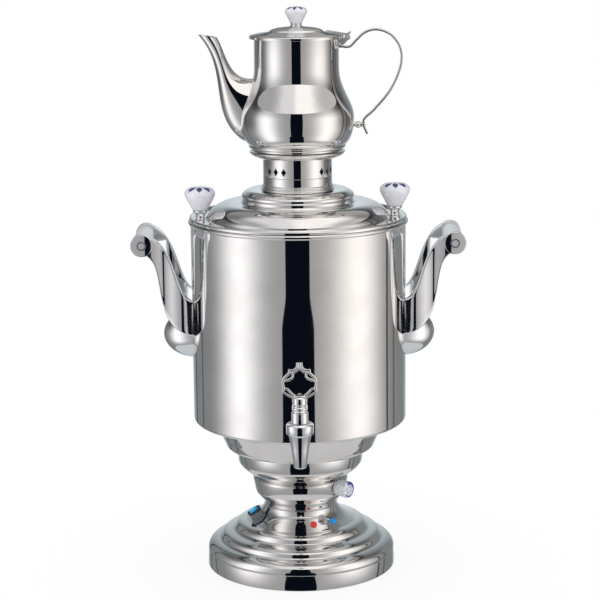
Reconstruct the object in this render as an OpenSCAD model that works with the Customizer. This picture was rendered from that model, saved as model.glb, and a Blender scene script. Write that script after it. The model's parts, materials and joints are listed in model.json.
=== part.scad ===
// Electric samovar with a teapot on its crown. Millimetres, +Z up, front towards -Y.
// Origin on the samovar's axis, in the plane of the feet's undersides.

/* [Base] */
// Diameter of the base band at the ground
base_d = 238; // [220:1:250]
// Height of the plain band round the base
band_h = 19; // [14:1:24]
// Height of the base bell above the band
bell_h = 59; // [54:1:66]
// Diameter of the waist between the base and the thermostat ring
waist_d = 92.4; // [84:0.4:96]
// How far the rubber feet stand proud of the band
foot_proud = 1; // [0.5:0.1:3]
// Diameter of a rubber foot
foot_d = 18; // [12:1:22]
// Distance of the feet from the axis
foot_ring_r = 92; // [80:1:98]
// Thickness of the pressed sheet
sheet = 1; // [0.8:0.1:1.2]
// Diameter of the tie rod that clamps the pedestal
tie_rod_d = 8; // [6:1:10]

/* [Pedestal] */
// Height of the thermostat ring
ring_h = 37; // [34:1:42]
// Diameter of the thermostat ring
ring_d = 120; // [114:1:124]
// Height of the lower bowl
low_bowl_h = 37; // [32:1:42]
// Diameter of the lower bowl
low_bowl_d = 158; // [150:1:164]
// Height of the upper bowl
up_bowl_h = 38; // [34:1:46]
// Diameter of the upper bowl where it meets the tank
up_bowl_d = 216; // [204:1:226]

/* [Tank] */
// Diameter of the tank
tank_d = 267; // [255:1:275]
// Height of the tank
tank_h = 255; // [235:1:275]
// Thickness of the tank wall
tank_wall = 1.2; // [1:0.1:1.6]
// Radius of the rolled bead round the mouth
rim_bead_r = 2.75; // [2:0.25:3]

/* [Side handles] */
// Distance of the grip's axis from the tank wall
grip_reach = 58; // [52:1:66]
// Height of the grip's axis above the foot of the arms
grip_rise = 115; // [106:1:122]
// Height of the foot of the arms above the tank floor
arm_foot_z = 114; // [100:1:120]
// Width over both arms at the grip
arm_span = 96; // [88:1:104]
// How much each arm leans in between the grip and the tank
arm_lean = 6; // [2:0.5:8]
// Thickness of an arm
arm_t = 11; // [9:0.5:12]
// Radius of the eye that holds the grip
eye_r = 13.7; // [12.9:0.1:15]
// Diameter of the grip
grip_d = 24.4; // [21:0.2:25]
// How far the domed boss stands out from the tank
boss_out = 36; // [30:1:40]
// Gap between the domed boss and the arms
boss_gap = 0.5; // [0.3:0.1:2]

/* [Tap] */
// Distance of the tap's axis from the tank wall
tap_reach = 50.5; // [46:0.5:60]
// Height of the tap's inlet above the tank floor
tap_inlet_z = 49; // [37:1:60]
// Diameter of the tap barrel
barrel_d = 19.6; // [18.4:0.2:21]
// Diameter of the valve plug
plug_d = 13; // [12:0.2:14]
// Bore of the nozzle
nozzle_bore = 7.2; // [6:0.2:8]
// Diameter of the collar round the top of the nozzle sleeve
sleeve_collar_d = 32.4; // [29:0.2:34]
// Diameter of the key's stem
key_stem_d = 16.4; // [14:0.2:17.4]
// Width of the key
key_w = 43; // [38:0.5:48]
// Height of the key's frame
key_h = 45; // [40:0.5:50]
// Thickness of the key's frame
key_t = 6; // [4:0.5:8]

/* [Controls] */
// Direction of the thermostat knob from the front
knob_az = 50; // [40:1:60]
// Diameter of the thermostat knob
stat_knob_d = 21; // [18:0.5:24]
// Length of the thermostat knob
stat_knob_l = 19.5; // [15:0.5:23]
// Direction of the rocker switch from the front, on the left
switch_az = 72; // [62:1:84]
// Length of the switch housing down the slope
switch_l = 18.5; // [17:0.5:22]
// Width of the switch housing
switch_w = 13; // [12:0.5:16]
// Height of the switch housing above the slope
switch_h = 10.5; // [9:0.5:12]
// Diameter of the pilot lamps
lamp_d = 8.4; // [6:0.2:10]
// Direction of the red lamp from the front
red_az = 16; // [10:1:24]
// Direction of the blue lamp from the front
blue_az = 44; // [36:1:54]

/* [Lid and crown] */
// How far the lid's lip stands past the tank's wall
lid_lip = 0.9; // [0.5:0.1:3]
// Height of the lid's upper cap above the tank's mouth
cap_z = 35; // [32:0.5:42]
// Diameter of the lid's upper cap
cap_d = 139; // [130:1:146]
// Diameter of the neck ring and the crown's collar
collar_d = 85.2; // [80:0.4:90]
// Height of the neck ring above the cap
neck_ring_h = 18; // [15:0.5:22]
// Height of the crown's collar
collar_h = 21.5; // [20:0.5:28]
// Width of a diamond cut-out
diamond_w = 7; // [5:0.5:8]
// Height of a diamond cut-out
diamond_h = 10; // [8:0.5:12]
// Diameter of the crown's pan
pan_d = 117.6; // [112:0.4:124]
// Distance of the lid knobs from the lid's edge
lid_knob_in = 13.4; // [13.2:0.1:15]
// Turn of the line through the lid knobs
lid_knob_turn = 5; // [0:1:10]
// Diameter of a lid knob
lid_knob_d = 38; // [34:1:40]
// Height of a lid knob
lid_knob_h = 29; // [25:1:33]
// Height of a lid knob's stem
lid_stem_h = 12; // [10:0.5:16]

/* [Teapot] */
// Diameter of the teapot's belly
belly_d = 140; // [132:1:146]
// Diameter of the teapot's neck
neck_d = 103.6; // [98:0.4:108]
// Height of the teapot body
pot_h = 137.2; // [130:0.2:145]
// Wall of the teapot
pot_wall = 1; // [0.8:0.1:1.2]
// How far the spout's tip reaches from the teapot's axis
spout_reach = 119.6; // [112:0.4:128]
// How far the handle stands out past the neck
handle_out = 75; // [68:0.5:84]
// Width of the handle strip
strip_w = 13; // [10:0.5:16]
// Thickness of the handle strip
strip_t = 2.8; // [2:0.1:3.4]
// Diameter of the teapot lid
pot_lid_d = 115.2; // [111:0.2:117]
// Height of the teapot lid
pot_lid_h = 14.4; // [12:0.2:18]
// Diameter of the teapot's knob
pot_knob_d = 27.4; // [22:0.2:30]
// Height of the teapot's knob
pot_knob_h = 20; // [16:0.5:24]
// Diameter of the hinge pin
hinge_pin_d = 2.4; // [2:0.1:3]

/* [Fits] */
// Gap between pieces that move past each other
gap = 0.3; // [0.2:0.05:0.4]
// Clearance on radius of a turning shaft in its bore
shaft_clear = 0.05; // [0.03:0.01:0.08]

/* [Hidden] */
$fn = 96;
eps = 0.01;
// Heights of the seams, from the ground up
z_skirt = foot_proud;
z_band = z_skirt + band_h;
z_cover = z_skirt + 1;
cover_t = 1.2;
z_bell = z_band + bell_h;
z_ring = z_bell + ring_h;
z_low = z_ring + low_bowl_h;
z_tank = z_low + up_bowl_h;
z_mouth = z_tank + tank_h;
z_cap = z_mouth + cap_z;
z_neck = z_cap + neck_ring_h;
z_crown = z_neck + gap;
z_pan = z_crown + collar_h;
z_pot = z_pan + 8.3 + gap;
z_pot_top = z_pot + pot_h;
// Radii
base_r = base_d / 2;
band_in = base_r - 12;
waist_r = waist_d / 2;
ring_r = ring_d / 2;
low_r = low_bowl_d / 2;
up_r = up_bowl_d / 2;
tank_r = tank_d / 2;
tank_in = tank_r - tank_wall;
lid_r = tank_r + lid_lip;
cap_r = cap_d / 2;
collar_r = collar_d / 2;
pan_r = pan_d / 2;
belly_r = belly_d / 2;
neck_r = neck_d / 2;
pot_lid_r = pot_lid_d / 2;
// Flanges that the pedestal's shells turn in, for the tie rod to clamp
flange_r = 32;
// Middle of the handle strip at its rivet, from the belly, and the rivet's ball
rivet_out = 11.4;
rivet_ball_r = 4.3;
// Places
boss_r = arm_span / 2 - arm_lean - arm_t - boss_gap;
grip_x = tank_r + grip_reach;
arm_z = z_tank + arm_foot_z;
boss_z = arm_z - 3.8;
grip_z = arm_z + grip_rise;
tap_y = -(tank_r + tap_reach);
tap_z = z_tank + tap_inlet_z;
plug_r = plug_d / 2;
stem_z = tap_z + 14.2;
body_top_z = stem_z - 8;
shank_r = 6.4;
thread_r = 6;
nozzle_r = 5.4;
key_z = stem_z + 7.8;
hinge_x = pot_lid_r + 4.9;
hinge_z = z_pot_top + 1.1;
lamp_r = waist_r + 11.3;
switch_r = waist_r + 11.3;
lid_knob_r = lid_r - lid_knob_in;
trough_in = lid_knob_r - 6.2;
trough_out = lid_knob_r + 6.2;
trough_z = z_mouth + 0.5;
stat_z = z_bell + 0.81 * ring_h;
stat_front = flange_r - 4;
element_r = 70;
element_z = 24;
leg_turn = 14;
gland_r = 5.4;
gland_z = z_skirt + 10.2;

// Outline helpers

// Points along an arc round c, from angle a to angle b
function arc(c, r, a, b, n = 8) =
    [for (i = [0:n]) c + r * [cos(a + (b - a) * i / n), sin(a + (b - a) * i / n)]];
// Points along a cubic curve
function curve(a, b, c, d, n = 12) =
    [for (i = [0:n]) let (t = i / n, s = 1 - t)
        s * s * s * a + 3 * s * s * t * b + 3 * s * t * t * c + t * t * t * d];
function unit(v) = v / norm(v);
function reversed(p) = [for (i = [len(p) - 1:-1:0]) p[i]];
// The outline's right-hand normal at point i
function side_at(p, i) =
    let (a = p[max(i - 1, 0)], b = p[min(i + 1, len(p) - 1)], d = unit(b - a)) [d.y, -d.x];
// The outline moved to its left by d
function inset(p, d) = [for (i = [0:len(p) - 1]) p[i] - d * side_at(p, i)];
// A smooth line through hand-chosen points
function through(p, n = 6) =
    [for (i = [0:len(p) - 2], k = [0:n - 1])
        let (t = k / n, a = p[max(i - 1, 0)], b = p[i], c = p[i + 1], d = p[min(i + 2, len(p) - 1)])
        0.5 * (2 * b + (c - a) * t + (2 * a - 5 * b + 4 * c - d) * t * t
            + (3 * b - a - 3 * c + d) * t * t * t),
        p[len(p) - 1]];

// A turned shell with its outside on the outline, which runs upwards
module turned(outline, wall) {
    rotate_extrude() polygon(concat(outline, reversed(inset(outline, wall))));
}
// A flat ring
module ring(outer, inner, z, h) {
    translate([0, 0, z]) difference() {
        cylinder(r = outer, h = h);
        translate([0, 0, -1]) cylinder(r = inner, h = h + 2);
    }
}
// A bar along +Y from y = a to y = b
module bar_y(r, a, b) {
    translate([0, b, 0]) rotate([90, 0, 0]) cylinder(r = r, h = b - a);
}
// A bar along +X from x = a to x = b
module bar_x(r, a, b) {
    translate([a, 0, 0]) rotate([0, 90, 0]) cylinder(r = r, h = b - a);
}
// Puts a child, built on +Z at the origin, on the base's flare
module on_slope(az, r) {
    rotate([0, 0, az]) translate([0, -r, flare_z(r)]) rotate([flare_slope(r), 0, 0]) children();
}
// Puts a child on the side handle's side: 1 is right, -1 is left
module handed(side) {
    mirror([side < 0 ? 1 : 0, 0, 0]) children();
}

// Base and pedestal

// Outside of the base bell, from the band up to the waist
bead_1 = [base_r - 23.5, z_band + 19];
bead_2 = [base_r - 41.5, z_band + 31.5];
bead_r = 5.3;
bell_top = [waist_r, z_bell];
bell_flare = curve(bead_2 + [0, bead_r + 0.6], [base_r - 56, z_band + 41], [waist_r + 2, z_bell - 11], bell_top);
function flare_z(r) = lookup(r, reversed(bell_flare));
function flare_slope(r) = atan((flare_z(r - 2) - flare_z(r + 2)) / 4);
bell_outline = concat(
    [[base_r - 0.8, z_band]],
    arc([base_r - 13, z_band + 2], 12.2, 0, 62),
    arc(bead_1, bead_r, -10, 75, 5),
    arc(bead_2, bead_r, -10, 75, 5),
    bell_flare);

module base_band() color("silver") {
    z_lip = z_cover + cover_t;
    difference() {
        rotate_extrude() polygon([[base_r, z_skirt], [base_r - 0.8, z_band], [band_in, z_band],
            [band_in, z_band - sheet], [base_r - 0.8 - sheet, z_band - sheet],
            [base_r - sheet, z_lip + sheet], [base_r - 10, z_lip + sheet], [base_r - 10, z_lip],
            [base_r - sheet, z_lip], [base_r - sheet, z_skirt]]);
        cover_screw_places() cylinder(d = 3, h = 20, center = true);
        translate([0, 0, gland_z]) bar_y(gland_r, band_in, base_r + 5);
    }
}

// Children at the screws that hold the bottom cover
module cover_screw_places() {
    for (a = [22.5:90:300]) rotate([0, 0, a]) translate([base_r - 6, 0, z_cover]) children();
}

module cover_screws() color("gray") {
    cover_screw_places() {
        cylinder(d = 3, h = 6);
        translate([0, 0, -0.8]) cylinder(d = 5.5, h = 0.8);
    }
}

module base_bell() color("silver") {
    difference() {
        union() {
            turned(bell_outline, sheet);
            ring(base_r - 1.6, band_in, z_band, sheet);
            ring(waist_r - eps, flange_r, z_bell - sheet, sheet);
        }
        on_slope(-switch_az, switch_r) translate([0, 0, -20]) pill(switch_l - 4, switch_w - 4, 40);
        for (az = [red_az, blue_az])
            on_slope(az, lamp_r) cylinder(d = lamp_d - 1.4, h = 30, center = true);
    }
}

module foot_places() {
    for (a = [45:90:315]) rotate([0, 0, a]) translate([foot_ring_r, 0, 0]) children();
}

module bottom_cover() color("dimgray") {
    difference() {
        translate([0, 0, z_cover]) cylinder(r = base_r - sheet - gap, h = cover_t);
        foot_places() cylinder(d = 6, h = 30, center = true);
        cover_screw_places() cylinder(d = 3, h = 20, center = true);
    }
}

module rubber_feet() color("black") {
    foot_places() {
        cylinder(d = foot_d, h = z_cover);
        cylinder(d = 6, h = z_cover + cover_t);
        translate([0, 0, z_cover + cover_t]) cylinder(d = 9, h = 2);
    }
}

// Clamps the pedestal's shells between the bell and the tank floor
rod_washer_t = 2;
rod_nut_h = 6.5;
rod_nut_z = z_bell - sheet - rod_washer_t - rod_nut_h;

module tie_rod() color("gray") {
    translate([0, 0, rod_nut_z - 5]) cylinder(d = tie_rod_d, h = z_tank - rod_nut_z + 5);
}

module tie_nuts() color("gray") {
    difference() {
        union() {
            translate([0, 0, rod_nut_z]) cylinder(d = tie_rod_d * 1.9, h = rod_nut_h, $fn = 6);
            translate([0, 0, rod_nut_z + rod_nut_h]) cylinder(r = flange_r + 5, h = rod_washer_t);
            translate([0, 0, z_tank - 8]) cylinder(d = tie_rod_d * 1.9, h = rod_nut_h, $fn = 6);
            translate([0, 0, z_tank - 1.5]) cylinder(d = tie_rod_d * 3, h = 1.5);
        }
        cylinder(d = tie_rod_d, h = z_tank + 1);
        for (x = [-20, 20]) translate([x, 0, rod_nut_z]) cylinder(r = 6, h = 20);
    }
}

ring_outline = concat(
    curve([waist_r, z_bell], [waist_r + 0.2, z_bell + 9], [ring_r - 5, z_bell + 11], [ring_r - 2.6, z_bell + 19]),
    [[ring_r, z_ring - 3.2]],
    arc([ring_r - 2.4, z_ring - 2.4], 2.4, 0, 80, 4),
    [[ring_r - 3.6, z_ring]]);

module thermostat_ring() color("silver") {
    difference() {
        union() {
            turned(ring_outline, sheet);
            ring(waist_r - eps, flange_r, z_bell, sheet);
            ring(ring_r - 3.6, flange_r, z_ring - sheet, sheet);
        }
        rotate([0, 0, knob_az]) translate([0, 0, stat_z]) bar_y(4, -ring_r - 10, -10);
    }
}

low_outline = concat(
    curve([ring_r - 3.6, z_ring], [ring_r + 2, z_ring + 6.5], [low_r - 4, z_ring + 10], [low_r - 0.4, z_ring + 21]),
    [[low_r, z_low - 3]],
    arc([low_r - 2, z_low - 2], 2, 0, 80, 4),
    [[low_r - 3, z_low]]);

module lower_bowl() color("silver") {
    turned(low_outline, sheet);
    ring(ring_r - 3.6 - eps, flange_r, z_ring, sheet);
    ring(low_r - 3, flange_r, z_low - sheet, sheet);
}

up_outline = concat(
    [[low_r - 3, z_low]],
    curve([low_r, z_low + 0.2], [low_r + 9, z_low + 0.4], [low_r + 14.5, z_low + 1.5], [low_r + 15.5, z_low + 7.5]),
    curve([low_r + 19, z_low + 15], [low_r + 21, z_low + 20], [up_r - 6, z_tank - 12], [up_r, z_tank - 1]),
    [[up_r, z_tank]]);

module upper_bowl() color("silver") {
    turned(up_outline, sheet);
    ring(low_r - 3, flange_r, z_low, sheet);
    ring(up_r - 0.5, up_r - 12, z_tank - sheet, sheet);
}

// Tank

module tank_shell() color("lightgray") {
    difference() {
        rotate_extrude() union() {
            difference() {
                union() {
                    translate([0, z_tank]) square([tank_r - 4, tank_h]);
                    translate([0, z_tank + 4]) square([tank_r, tank_h - 4]);
                    translate([tank_r - 4, z_tank + 4]) circle(r = 4);
                    translate([tank_r, z_mouth - rim_bead_r]) circle(r = rim_bead_r);
                }
                translate([0, z_tank + tank_wall]) square([tank_in, tank_h]);
                mirror([1, 0]) square([tank_d, z_mouth + 10]);
            }
        }
        translate([0, 0, tap_z]) bar_y(thread_r + 0.1, -tank_r - 5, -tank_r + 15);
        for (side = [-1, 1]) handed(side) handle_bolt_places() bar_x(3, tank_r - 30, tank_r + 5);
        element_leg_places() cylinder(r = 5, h = 20, center = true);
    }
}

// Side handles

// A point of the arm's outline: share of the reach, share of the rise
function arm_point(u, v) = [tank_r + u * grip_reach, arm_z + v * grip_rise];

module arm_profile() {
    lower = concat(
        curve(arm_point(0.905, 0.892), arm_point(0.645, 0.835), arm_point(0.685, 0.575),
            arm_point(0.565, 0.315)),
        curve(arm_point(0.565, 0.315), arm_point(0.46, 0.107), arm_point(0.2, 0.02),
            arm_point(-0.14, -0.01)));
    upper = concat(
        curve(arm_point(0.871, 1.095), arm_point(0.56, 1.078), arm_point(0.422, 0.853),
            arm_point(0.302, 0.671)),
        curve(arm_point(0.302, 0.671), arm_point(0.181, 0.489), arm_point(0.129, 0.393),
            arm_point(-0.16, 0.372)));
    polygon(concat(lower, reversed(upper)));
    translate([grip_x, grip_z]) circle(r = eye_r);
}

module arm_plan() {
    y_eye = arm_span / 2;
    outer = concat([[grip_x + eye_r + 1, y_eye]],
        curve([grip_x - eye_r, y_eye], [grip_x - eye_r - 14, y_eye], [tank_r + 22, y_eye - arm_lean],
            [tank_r - 12, y_eye - arm_lean], 8));
    inner = [for (p = outer) p - [0, arm_t]];
    polygon(concat(outer, reversed(inner)));
}

module arms() {
    difference() {
        for (s = [0, 1]) mirror([0, s, 0]) difference() {
            intersection() {
                translate([0, arm_span, 0]) rotate([90, 0, 0])
                    linear_extrude(arm_span) arm_profile();
                translate([0, 0, z_tank]) linear_extrude(tank_h + 60) arm_plan();
            }
            translate([grip_x, 0, grip_z]) {
                bar_y(2.2, 0, arm_span);
                bar_y(5.6, arm_span / 2 - 2, arm_span);
            }
        }
        translate([0, 0, z_tank - 10]) cylinder(r = tank_r, h = tank_h + 20);
        handle_bolt_places() bar_x(3, tank_r - 30, tank_r + 8);
    }
}

// Children at the three bolts of the right-hand handle
module handle_bolt_places() {
    y_arm = arm_span / 2 - arm_lean - arm_t / 2;
    for (s = [-1, 1]) translate([0, s * y_arm, arm_z + 20]) {
        $seat = sqrt(tank_in * tank_in - pow(y_arm + 6.5, 2)) - 1.5;
        children();
    }
    translate([0, 0, boss_z]) {
        $seat = tank_in - 2.5;
        children();
    }
}

module boss() {
    difference() {
        translate([0, 0, boss_z]) rotate([0, 90, 0]) rotate_extrude()
            polygon(concat([[0, tank_r - 10], [boss_r, tank_r - 10]],
                [for (i = [0:12]) let (a = i * 7.5)
                    [boss_r * cos(a), tank_r - 4 + (boss_out + 4) * sin(a)]]));
        translate([0, 0, z_tank - 10]) cylinder(r = tank_r, h = tank_h + 20);
        handle_bolt_places() bar_x(3, tank_r - 30, tank_r + 8);
    }
}

module grip() {
    translate([grip_x, 0, grip_z]) difference() {
        bar_y(grip_d / 2, -arm_span / 2 + arm_t, arm_span / 2 - arm_t);
        for (s = [0, 1]) mirror([0, s, 0]) bar_y(2, arm_span / 2 - arm_t - 16, arm_span / 2);
    }
}

module arms_left() color("silver") handed(-1) arms();
module arms_right() color("silver") arms();
module boss_left() color("silver") handed(-1) boss();
module boss_right() color("silver") boss();
module grip_left() color("whitesmoke") handed(-1) grip();
module grip_right() color("whitesmoke") grip();

module grip_screws() color("gray") {
    for (side = [-1, 1]) handed(side) translate([grip_x, 0, grip_z])
        for (s = [0, 1]) mirror([0, s, 0]) difference() {
            union() {
                bar_y(2, arm_span / 2 - arm_t - 14, arm_span / 2 - 1);
                bar_y(4.8, arm_span / 2 - 2, arm_span / 2 - 0.4);
            }
            bar_y(1.5, arm_span / 2 - 1.2, arm_span / 2 + 1);
        }
}

// Cap screws from inside the tank into the arms and the boss
module handle_bolts() color("gray") {
    for (side = [-1, 1]) handed(side) handle_bolt_places() {
        bar_x(3, $seat - 1, tank_r + 6);
        bar_x(5, $seat - 4, $seat);
    }
}

// Rubber seals, flat under the heads and round against the wall
module handle_seals() color("black") {
    for (side = [-1, 1]) handed(side) intersection() {
        handle_bolt_places() difference() {
            bar_x(6.5, $seat, tank_r);
            bar_x(3, $seat - 1, tank_r + 1);
        }
        translate([0, 0, z_tank]) cylinder(r = tank_in, h = tank_h);
    }
}

// Tap

module at_tap() translate([0, tap_y, 0]) children();

sleeve_z = tap_z - 6.5;
seat_r = 9;

module tap_body() color("silver") {
    difference() {
        union() {
            at_tap() {
                translate([0, 0, sleeve_z]) cylinder(d = barrel_d, h = body_top_z - sleeve_z);
                translate([0, 0, sleeve_z - 55]) cylinder(r = nozzle_r, h = 50);
                translate([0, 0, tap_z - 12]) cylinder(r = seat_r, h = 12);
            }
            translate([0, 0, tap_z]) {
                bar_y(shank_r, tap_y, -tank_r - 3);
                bar_y(15, -tank_r - 6, -tank_r - 3);
                bar_y(9, -tank_r - 8, -tank_r - 5);
                bar_y(thread_r, -tank_r - 4, -tank_in + 14);
            }
        }
        at_tap() {
            translate([0, 0, tap_z - 9]) cylinder(r = plug_r + shaft_clear, h = 60);
            translate([0, 0, tap_z - 70]) cylinder(d = nozzle_bore, h = 70);
        }
        translate([0, 0, tap_z]) bar_y(3.6, tap_y + plug_r - 1, -tank_in + 20);
    }
}

// Conical sleeve round the nozzle
module tap_sleeve() color("silver") {
    r = sleeve_collar_d / 2;
    at_tap() difference() {
        rotate_extrude() polygon(concat(
            [[0, sleeve_z - 55.2]],
            arc([nozzle_r, sleeve_z - 53], 2.2, -90, -15, 4),
            [[r - 5.8, sleeve_z - 32], [r - 2.8, sleeve_z - 14.6], [r - 0.6, sleeve_z - 13.6],
                [r, sleeve_z - 12.4], [r, sleeve_z - 2.4], [r - 1.4, sleeve_z - 1], [r - 3.2, sleeve_z],
                [0, sleeve_z]]));
        translate([0, 0, sleeve_z - 60]) cylinder(r = nozzle_r, h = 80);
        translate([0, 0, tap_z - 12]) cylinder(r = seat_r, h = 20);
    }
}

module tap_bonnet() color("silver") {
    z0 = body_top_z;
    at_tap() {
        rotate_extrude() polygon([[5 + shaft_clear, z0], [8.8, z0], [8.8, z0 + 1.6], [7.8, z0 + 2.2],
            [7.8, z0 + 3.2], [8.8, z0 + 3.8], [8.8, z0 + 5.6], [7.6, z0 + 6.6],
            [7.6, stem_z - gap], [5 + shaft_clear, stem_z - gap]]);
    }
}

module tap_wall_nut() color("silver") {
    translate([0, -tank_in + 10, tap_z]) rotate([90, 0, 0]) difference() {
        cylinder(r = 12, h = 6, $fn = 6);
        translate([0, 0, -1]) cylinder(r = thread_r, h = 10);
    }
}

// Outer gasket between flange and wall, inner gasket between wall and nut
module tap_gaskets() color("black") {
    difference() {
        translate([0, 0, tap_z]) bar_y(14, -tank_r - 3, -tank_r + 4);
        translate([0, 0, tap_z]) bar_y(thread_r, -tank_r - 6, -tank_r + 8);
        translate([0, 0, z_tank]) cylinder(r = tank_r, h = tank_h);
    }
    intersection() {
        translate([0, 0, tap_z]) difference() {
            bar_y(13, -tank_r - 4, -tank_in + 4);
            bar_y(thread_r, -tank_r - 6, -tank_in + 8);
        }
        translate([0, 0, z_tank]) cylinder(r = tank_in, h = tank_h);
    }
}

// Right half of the key's outer outline, from the middle of the stem up to the tip
function key_point(u, v) = [u * key_w / 2, key_z + v * key_h];
key_outer = concat(
    [key_point(0, -0.02), key_point(0.36, -0.02), key_point(0.4, 0.01)],
    through([key_point(0.9, 0.15), key_point(0.985, 0.2), key_point(0.96, 0.3), key_point(1, 0.4),
        key_point(0.99, 0.54), key_point(0.9, 0.66), key_point(0.78, 0.735)], 3),
    [key_point(0.66, 0.79), key_point(0.63, 0.85)],
    through([key_point(0.5, 0.84), key_point(0.36, 0.87), key_point(0.26, 0.94), key_point(0.22, 1)], 3),
    [key_point(0, 1)]);
// Right half of the key's opening
key_inner = concat(
    [key_point(0, 0.12), key_point(0.3, 0.12)],
    [key_point(0.62, 0.27), key_point(0.76, 0.29)],
    through([key_point(0.83, 0.38), key_point(0.82, 0.5), key_point(0.68, 0.545), key_point(0.4, 0.6),
        key_point(0.34, 0.68), key_point(0.3, 0.755)], 3),
    [key_point(0, 0.83)]);

module key_frame() {
    difference() {
        polygon(concat(key_outer, [for (p = reversed(key_outer)) [-p.x, p.y]]));
        polygon(concat(key_inner, [for (p = reversed(key_inner)) [-p.x, p.y]]));
    }
}

module tap_key() color("silver") {
    at_tap() difference() {
        union() {
            translate([0, key_t / 2, 0]) rotate([90, 0, 0]) linear_extrude(key_t) key_frame();
            translate([0, 0, stem_z]) cylinder(d = key_stem_d - 1.2, h = 1.2);
            translate([0, 0, stem_z + 1.2]) cylinder(d = key_stem_d, h = key_z - stem_z + 1.2);
            translate([0, 0, key_z + 2.4]) cylinder(d1 = key_stem_d, d2 = key_stem_d - 4, h = 2);
        }
        translate([0, 0, stem_z - 1]) cylinder(r = 5, h = 6);
    }
}

// Valve plug: open below, one port to the side, turned from the spindle
module tap_plug() color("gold") {
    at_tap() difference() {
        union() {
            translate([0, 0, tap_z - 8.5]) cylinder(r = plug_r, h = body_top_z - tap_z + 8.5 - gap);
            translate([0, 0, tap_z]) cylinder(r = 5, h = stem_z + 5 - tap_z);
        }
        translate([0, 0, tap_z - 20]) cylinder(d = nozzle_bore, h = 23);
        translate([0, 0, tap_z]) bar_x(3.4, 0, plug_r + 5);
    }
}

// Heating element and its fittings

// Children at the two legs of the heating element
module element_leg_places() {
    for (s = [-1, 1]) rotate([0, 0, 90 + s * leg_turn]) translate([element_r, 0, z_tank]) children();
}

module heating_element() color("gray") {
    translate([0, 0, z_tank + element_z]) rotate([0, 0, 90 + leg_turn])
        rotate_extrude(angle = 360 - 2 * leg_turn) translate([element_r, 0]) circle(r = 4.2);
    element_leg_places() {
        translate([0, 0, -14]) cylinder(r = 4.2, h = element_z + 14);
        translate([0, 0, element_z]) sphere(r = 4.6);
        translate([0, 0, 3.4]) cylinder(r = 8, h = 3);
        translate([0, 0, -20]) cylinder(r = 2, h = 8);
    }
}

module element_nuts() color("gold") {
    element_leg_places() translate([0, 0, -7]) difference() {
        cylinder(r = 9, h = 6, $fn = 6);
        translate([0, 0, -1]) cylinder(r = 4.2, h = 12);
    }
}

module element_gaskets() color("black") {
    element_leg_places() {
        ring(8.5, 4.2, tank_wall, 2.2);
        ring(8, 4.2, -1, 1);
    }
}

module cutout_disc() color("gray") {
    translate([0, -50, z_tank]) {
        translate([0, 0, -3]) cylinder(r = 12, h = 3);
        translate([0, 0, -11]) cylinder(r = 8, h = 8);
        for (s = [-1, 1]) translate([s * 4, 0, -15]) cube([0.8, 5, 9], center = true);
    }
}

module thermostat_body() color("dimgray") {
    rotate([0, 0, knob_az]) translate([0, 0, stat_z]) difference() {
        union() {
            bar_y(13.5, -stat_front, -10);
            bar_y(5, -ring_r + 2 + sheet, -stat_front);
        }
        bar_y(3 + shaft_clear, -ring_r, -stat_front + 6);
    }
}

module terminal_block() color("white") {
    translate([0, 58, z_skirt + sheet + 1.2]) difference() {
        translate([-16, -8, 0]) cube([32, 16, 14]);
        for (x = [-10:10:10]) translate([x, 0, 7]) cylinder(r = 2.6, h = 10);
    }
}

module cable_gland() color("black") {
    translate([0, 0, gland_z]) difference() {
        union() {
            bar_y(gland_r + 2, base_r - 0.2, base_r + 2);
            bar_y(gland_r, base_r - 6, base_r + 1);
        }
        bar_y(3.5, base_r - 20, base_r + 20);
    }
}

// Controls

rocker_r = switch_l / 2 - 2.6;
rocker_w = switch_w - 5;
rocker_drop = 3;

// A block with round ends, l long down the slope
module pill(l, w, h) {
    linear_extrude(h) {
        square([w, l - w], center = true);
        for (s = [-1, 1]) translate([0, s * (l - w) / 2]) circle(d = w);
    }
}

// All that lies inside the bell's outer face
module bell_inside() {
    rotate_extrude() polygon(concat(bell_outline, [[0, z_bell], [0, z_band]]));
}

module switch_housing() color("darkgray") {
    pocket_z = switch_h - rocker_drop - rocker_r - gap;
    difference() {
        union() {
            difference() {
                on_slope(-switch_az, switch_r) {
                    translate([0, 0, -9]) pill(switch_l - 1.2, switch_w - 1.2, switch_h + 8);
                    translate([0, 0, switch_h - 2]) pill(switch_l, switch_w, 2);
                }
                bell_inside();
            }
            on_slope(-switch_az, switch_r) translate([0, 0, -9]) pill(switch_l - 4, switch_w - 4, 12);
        }
        on_slope(-switch_az, switch_r)
            translate([0, 0, pocket_z]) pill(2 * rocker_r + 2, rocker_w + 2 * gap, 20);
    }
}

module switch_rocker() color("deepskyblue") {
    on_slope(-switch_az, switch_r) translate([0, 0, switch_h - rocker_drop]) rotate([6, 0, 0])
        intersection() {
            bar_x(rocker_r, -rocker_w / 2, rocker_w / 2);
            translate([0, 0, -rocker_r]) pill(2 * rocker_r, rocker_w, rocker_r + 4.4);
        }
}

// A pilot lamp seen from outside: its body goes through the bell, its lens stands on it
module lamp(az) {
    on_slope(az, lamp_r) translate([0, 0, -14]) cylinder(d = lamp_d - 1.4, h = 15);
    difference() {
        on_slope(az, lamp_r) {
            translate([0, 0, -2]) cylinder(d = lamp_d, h = 3.6);
            translate([0, 0, 1.6]) intersection() {
                translate([0, 0, -lamp_d / 2 + 1.8]) sphere(d = lamp_d);
                cylinder(d = lamp_d, h = 5);
            }
        }
        bell_inside();
    }
}

module red_lamp() color("red") lamp(red_az);
module blue_lamp() color("dodgerblue") lamp(blue_az);

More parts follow.
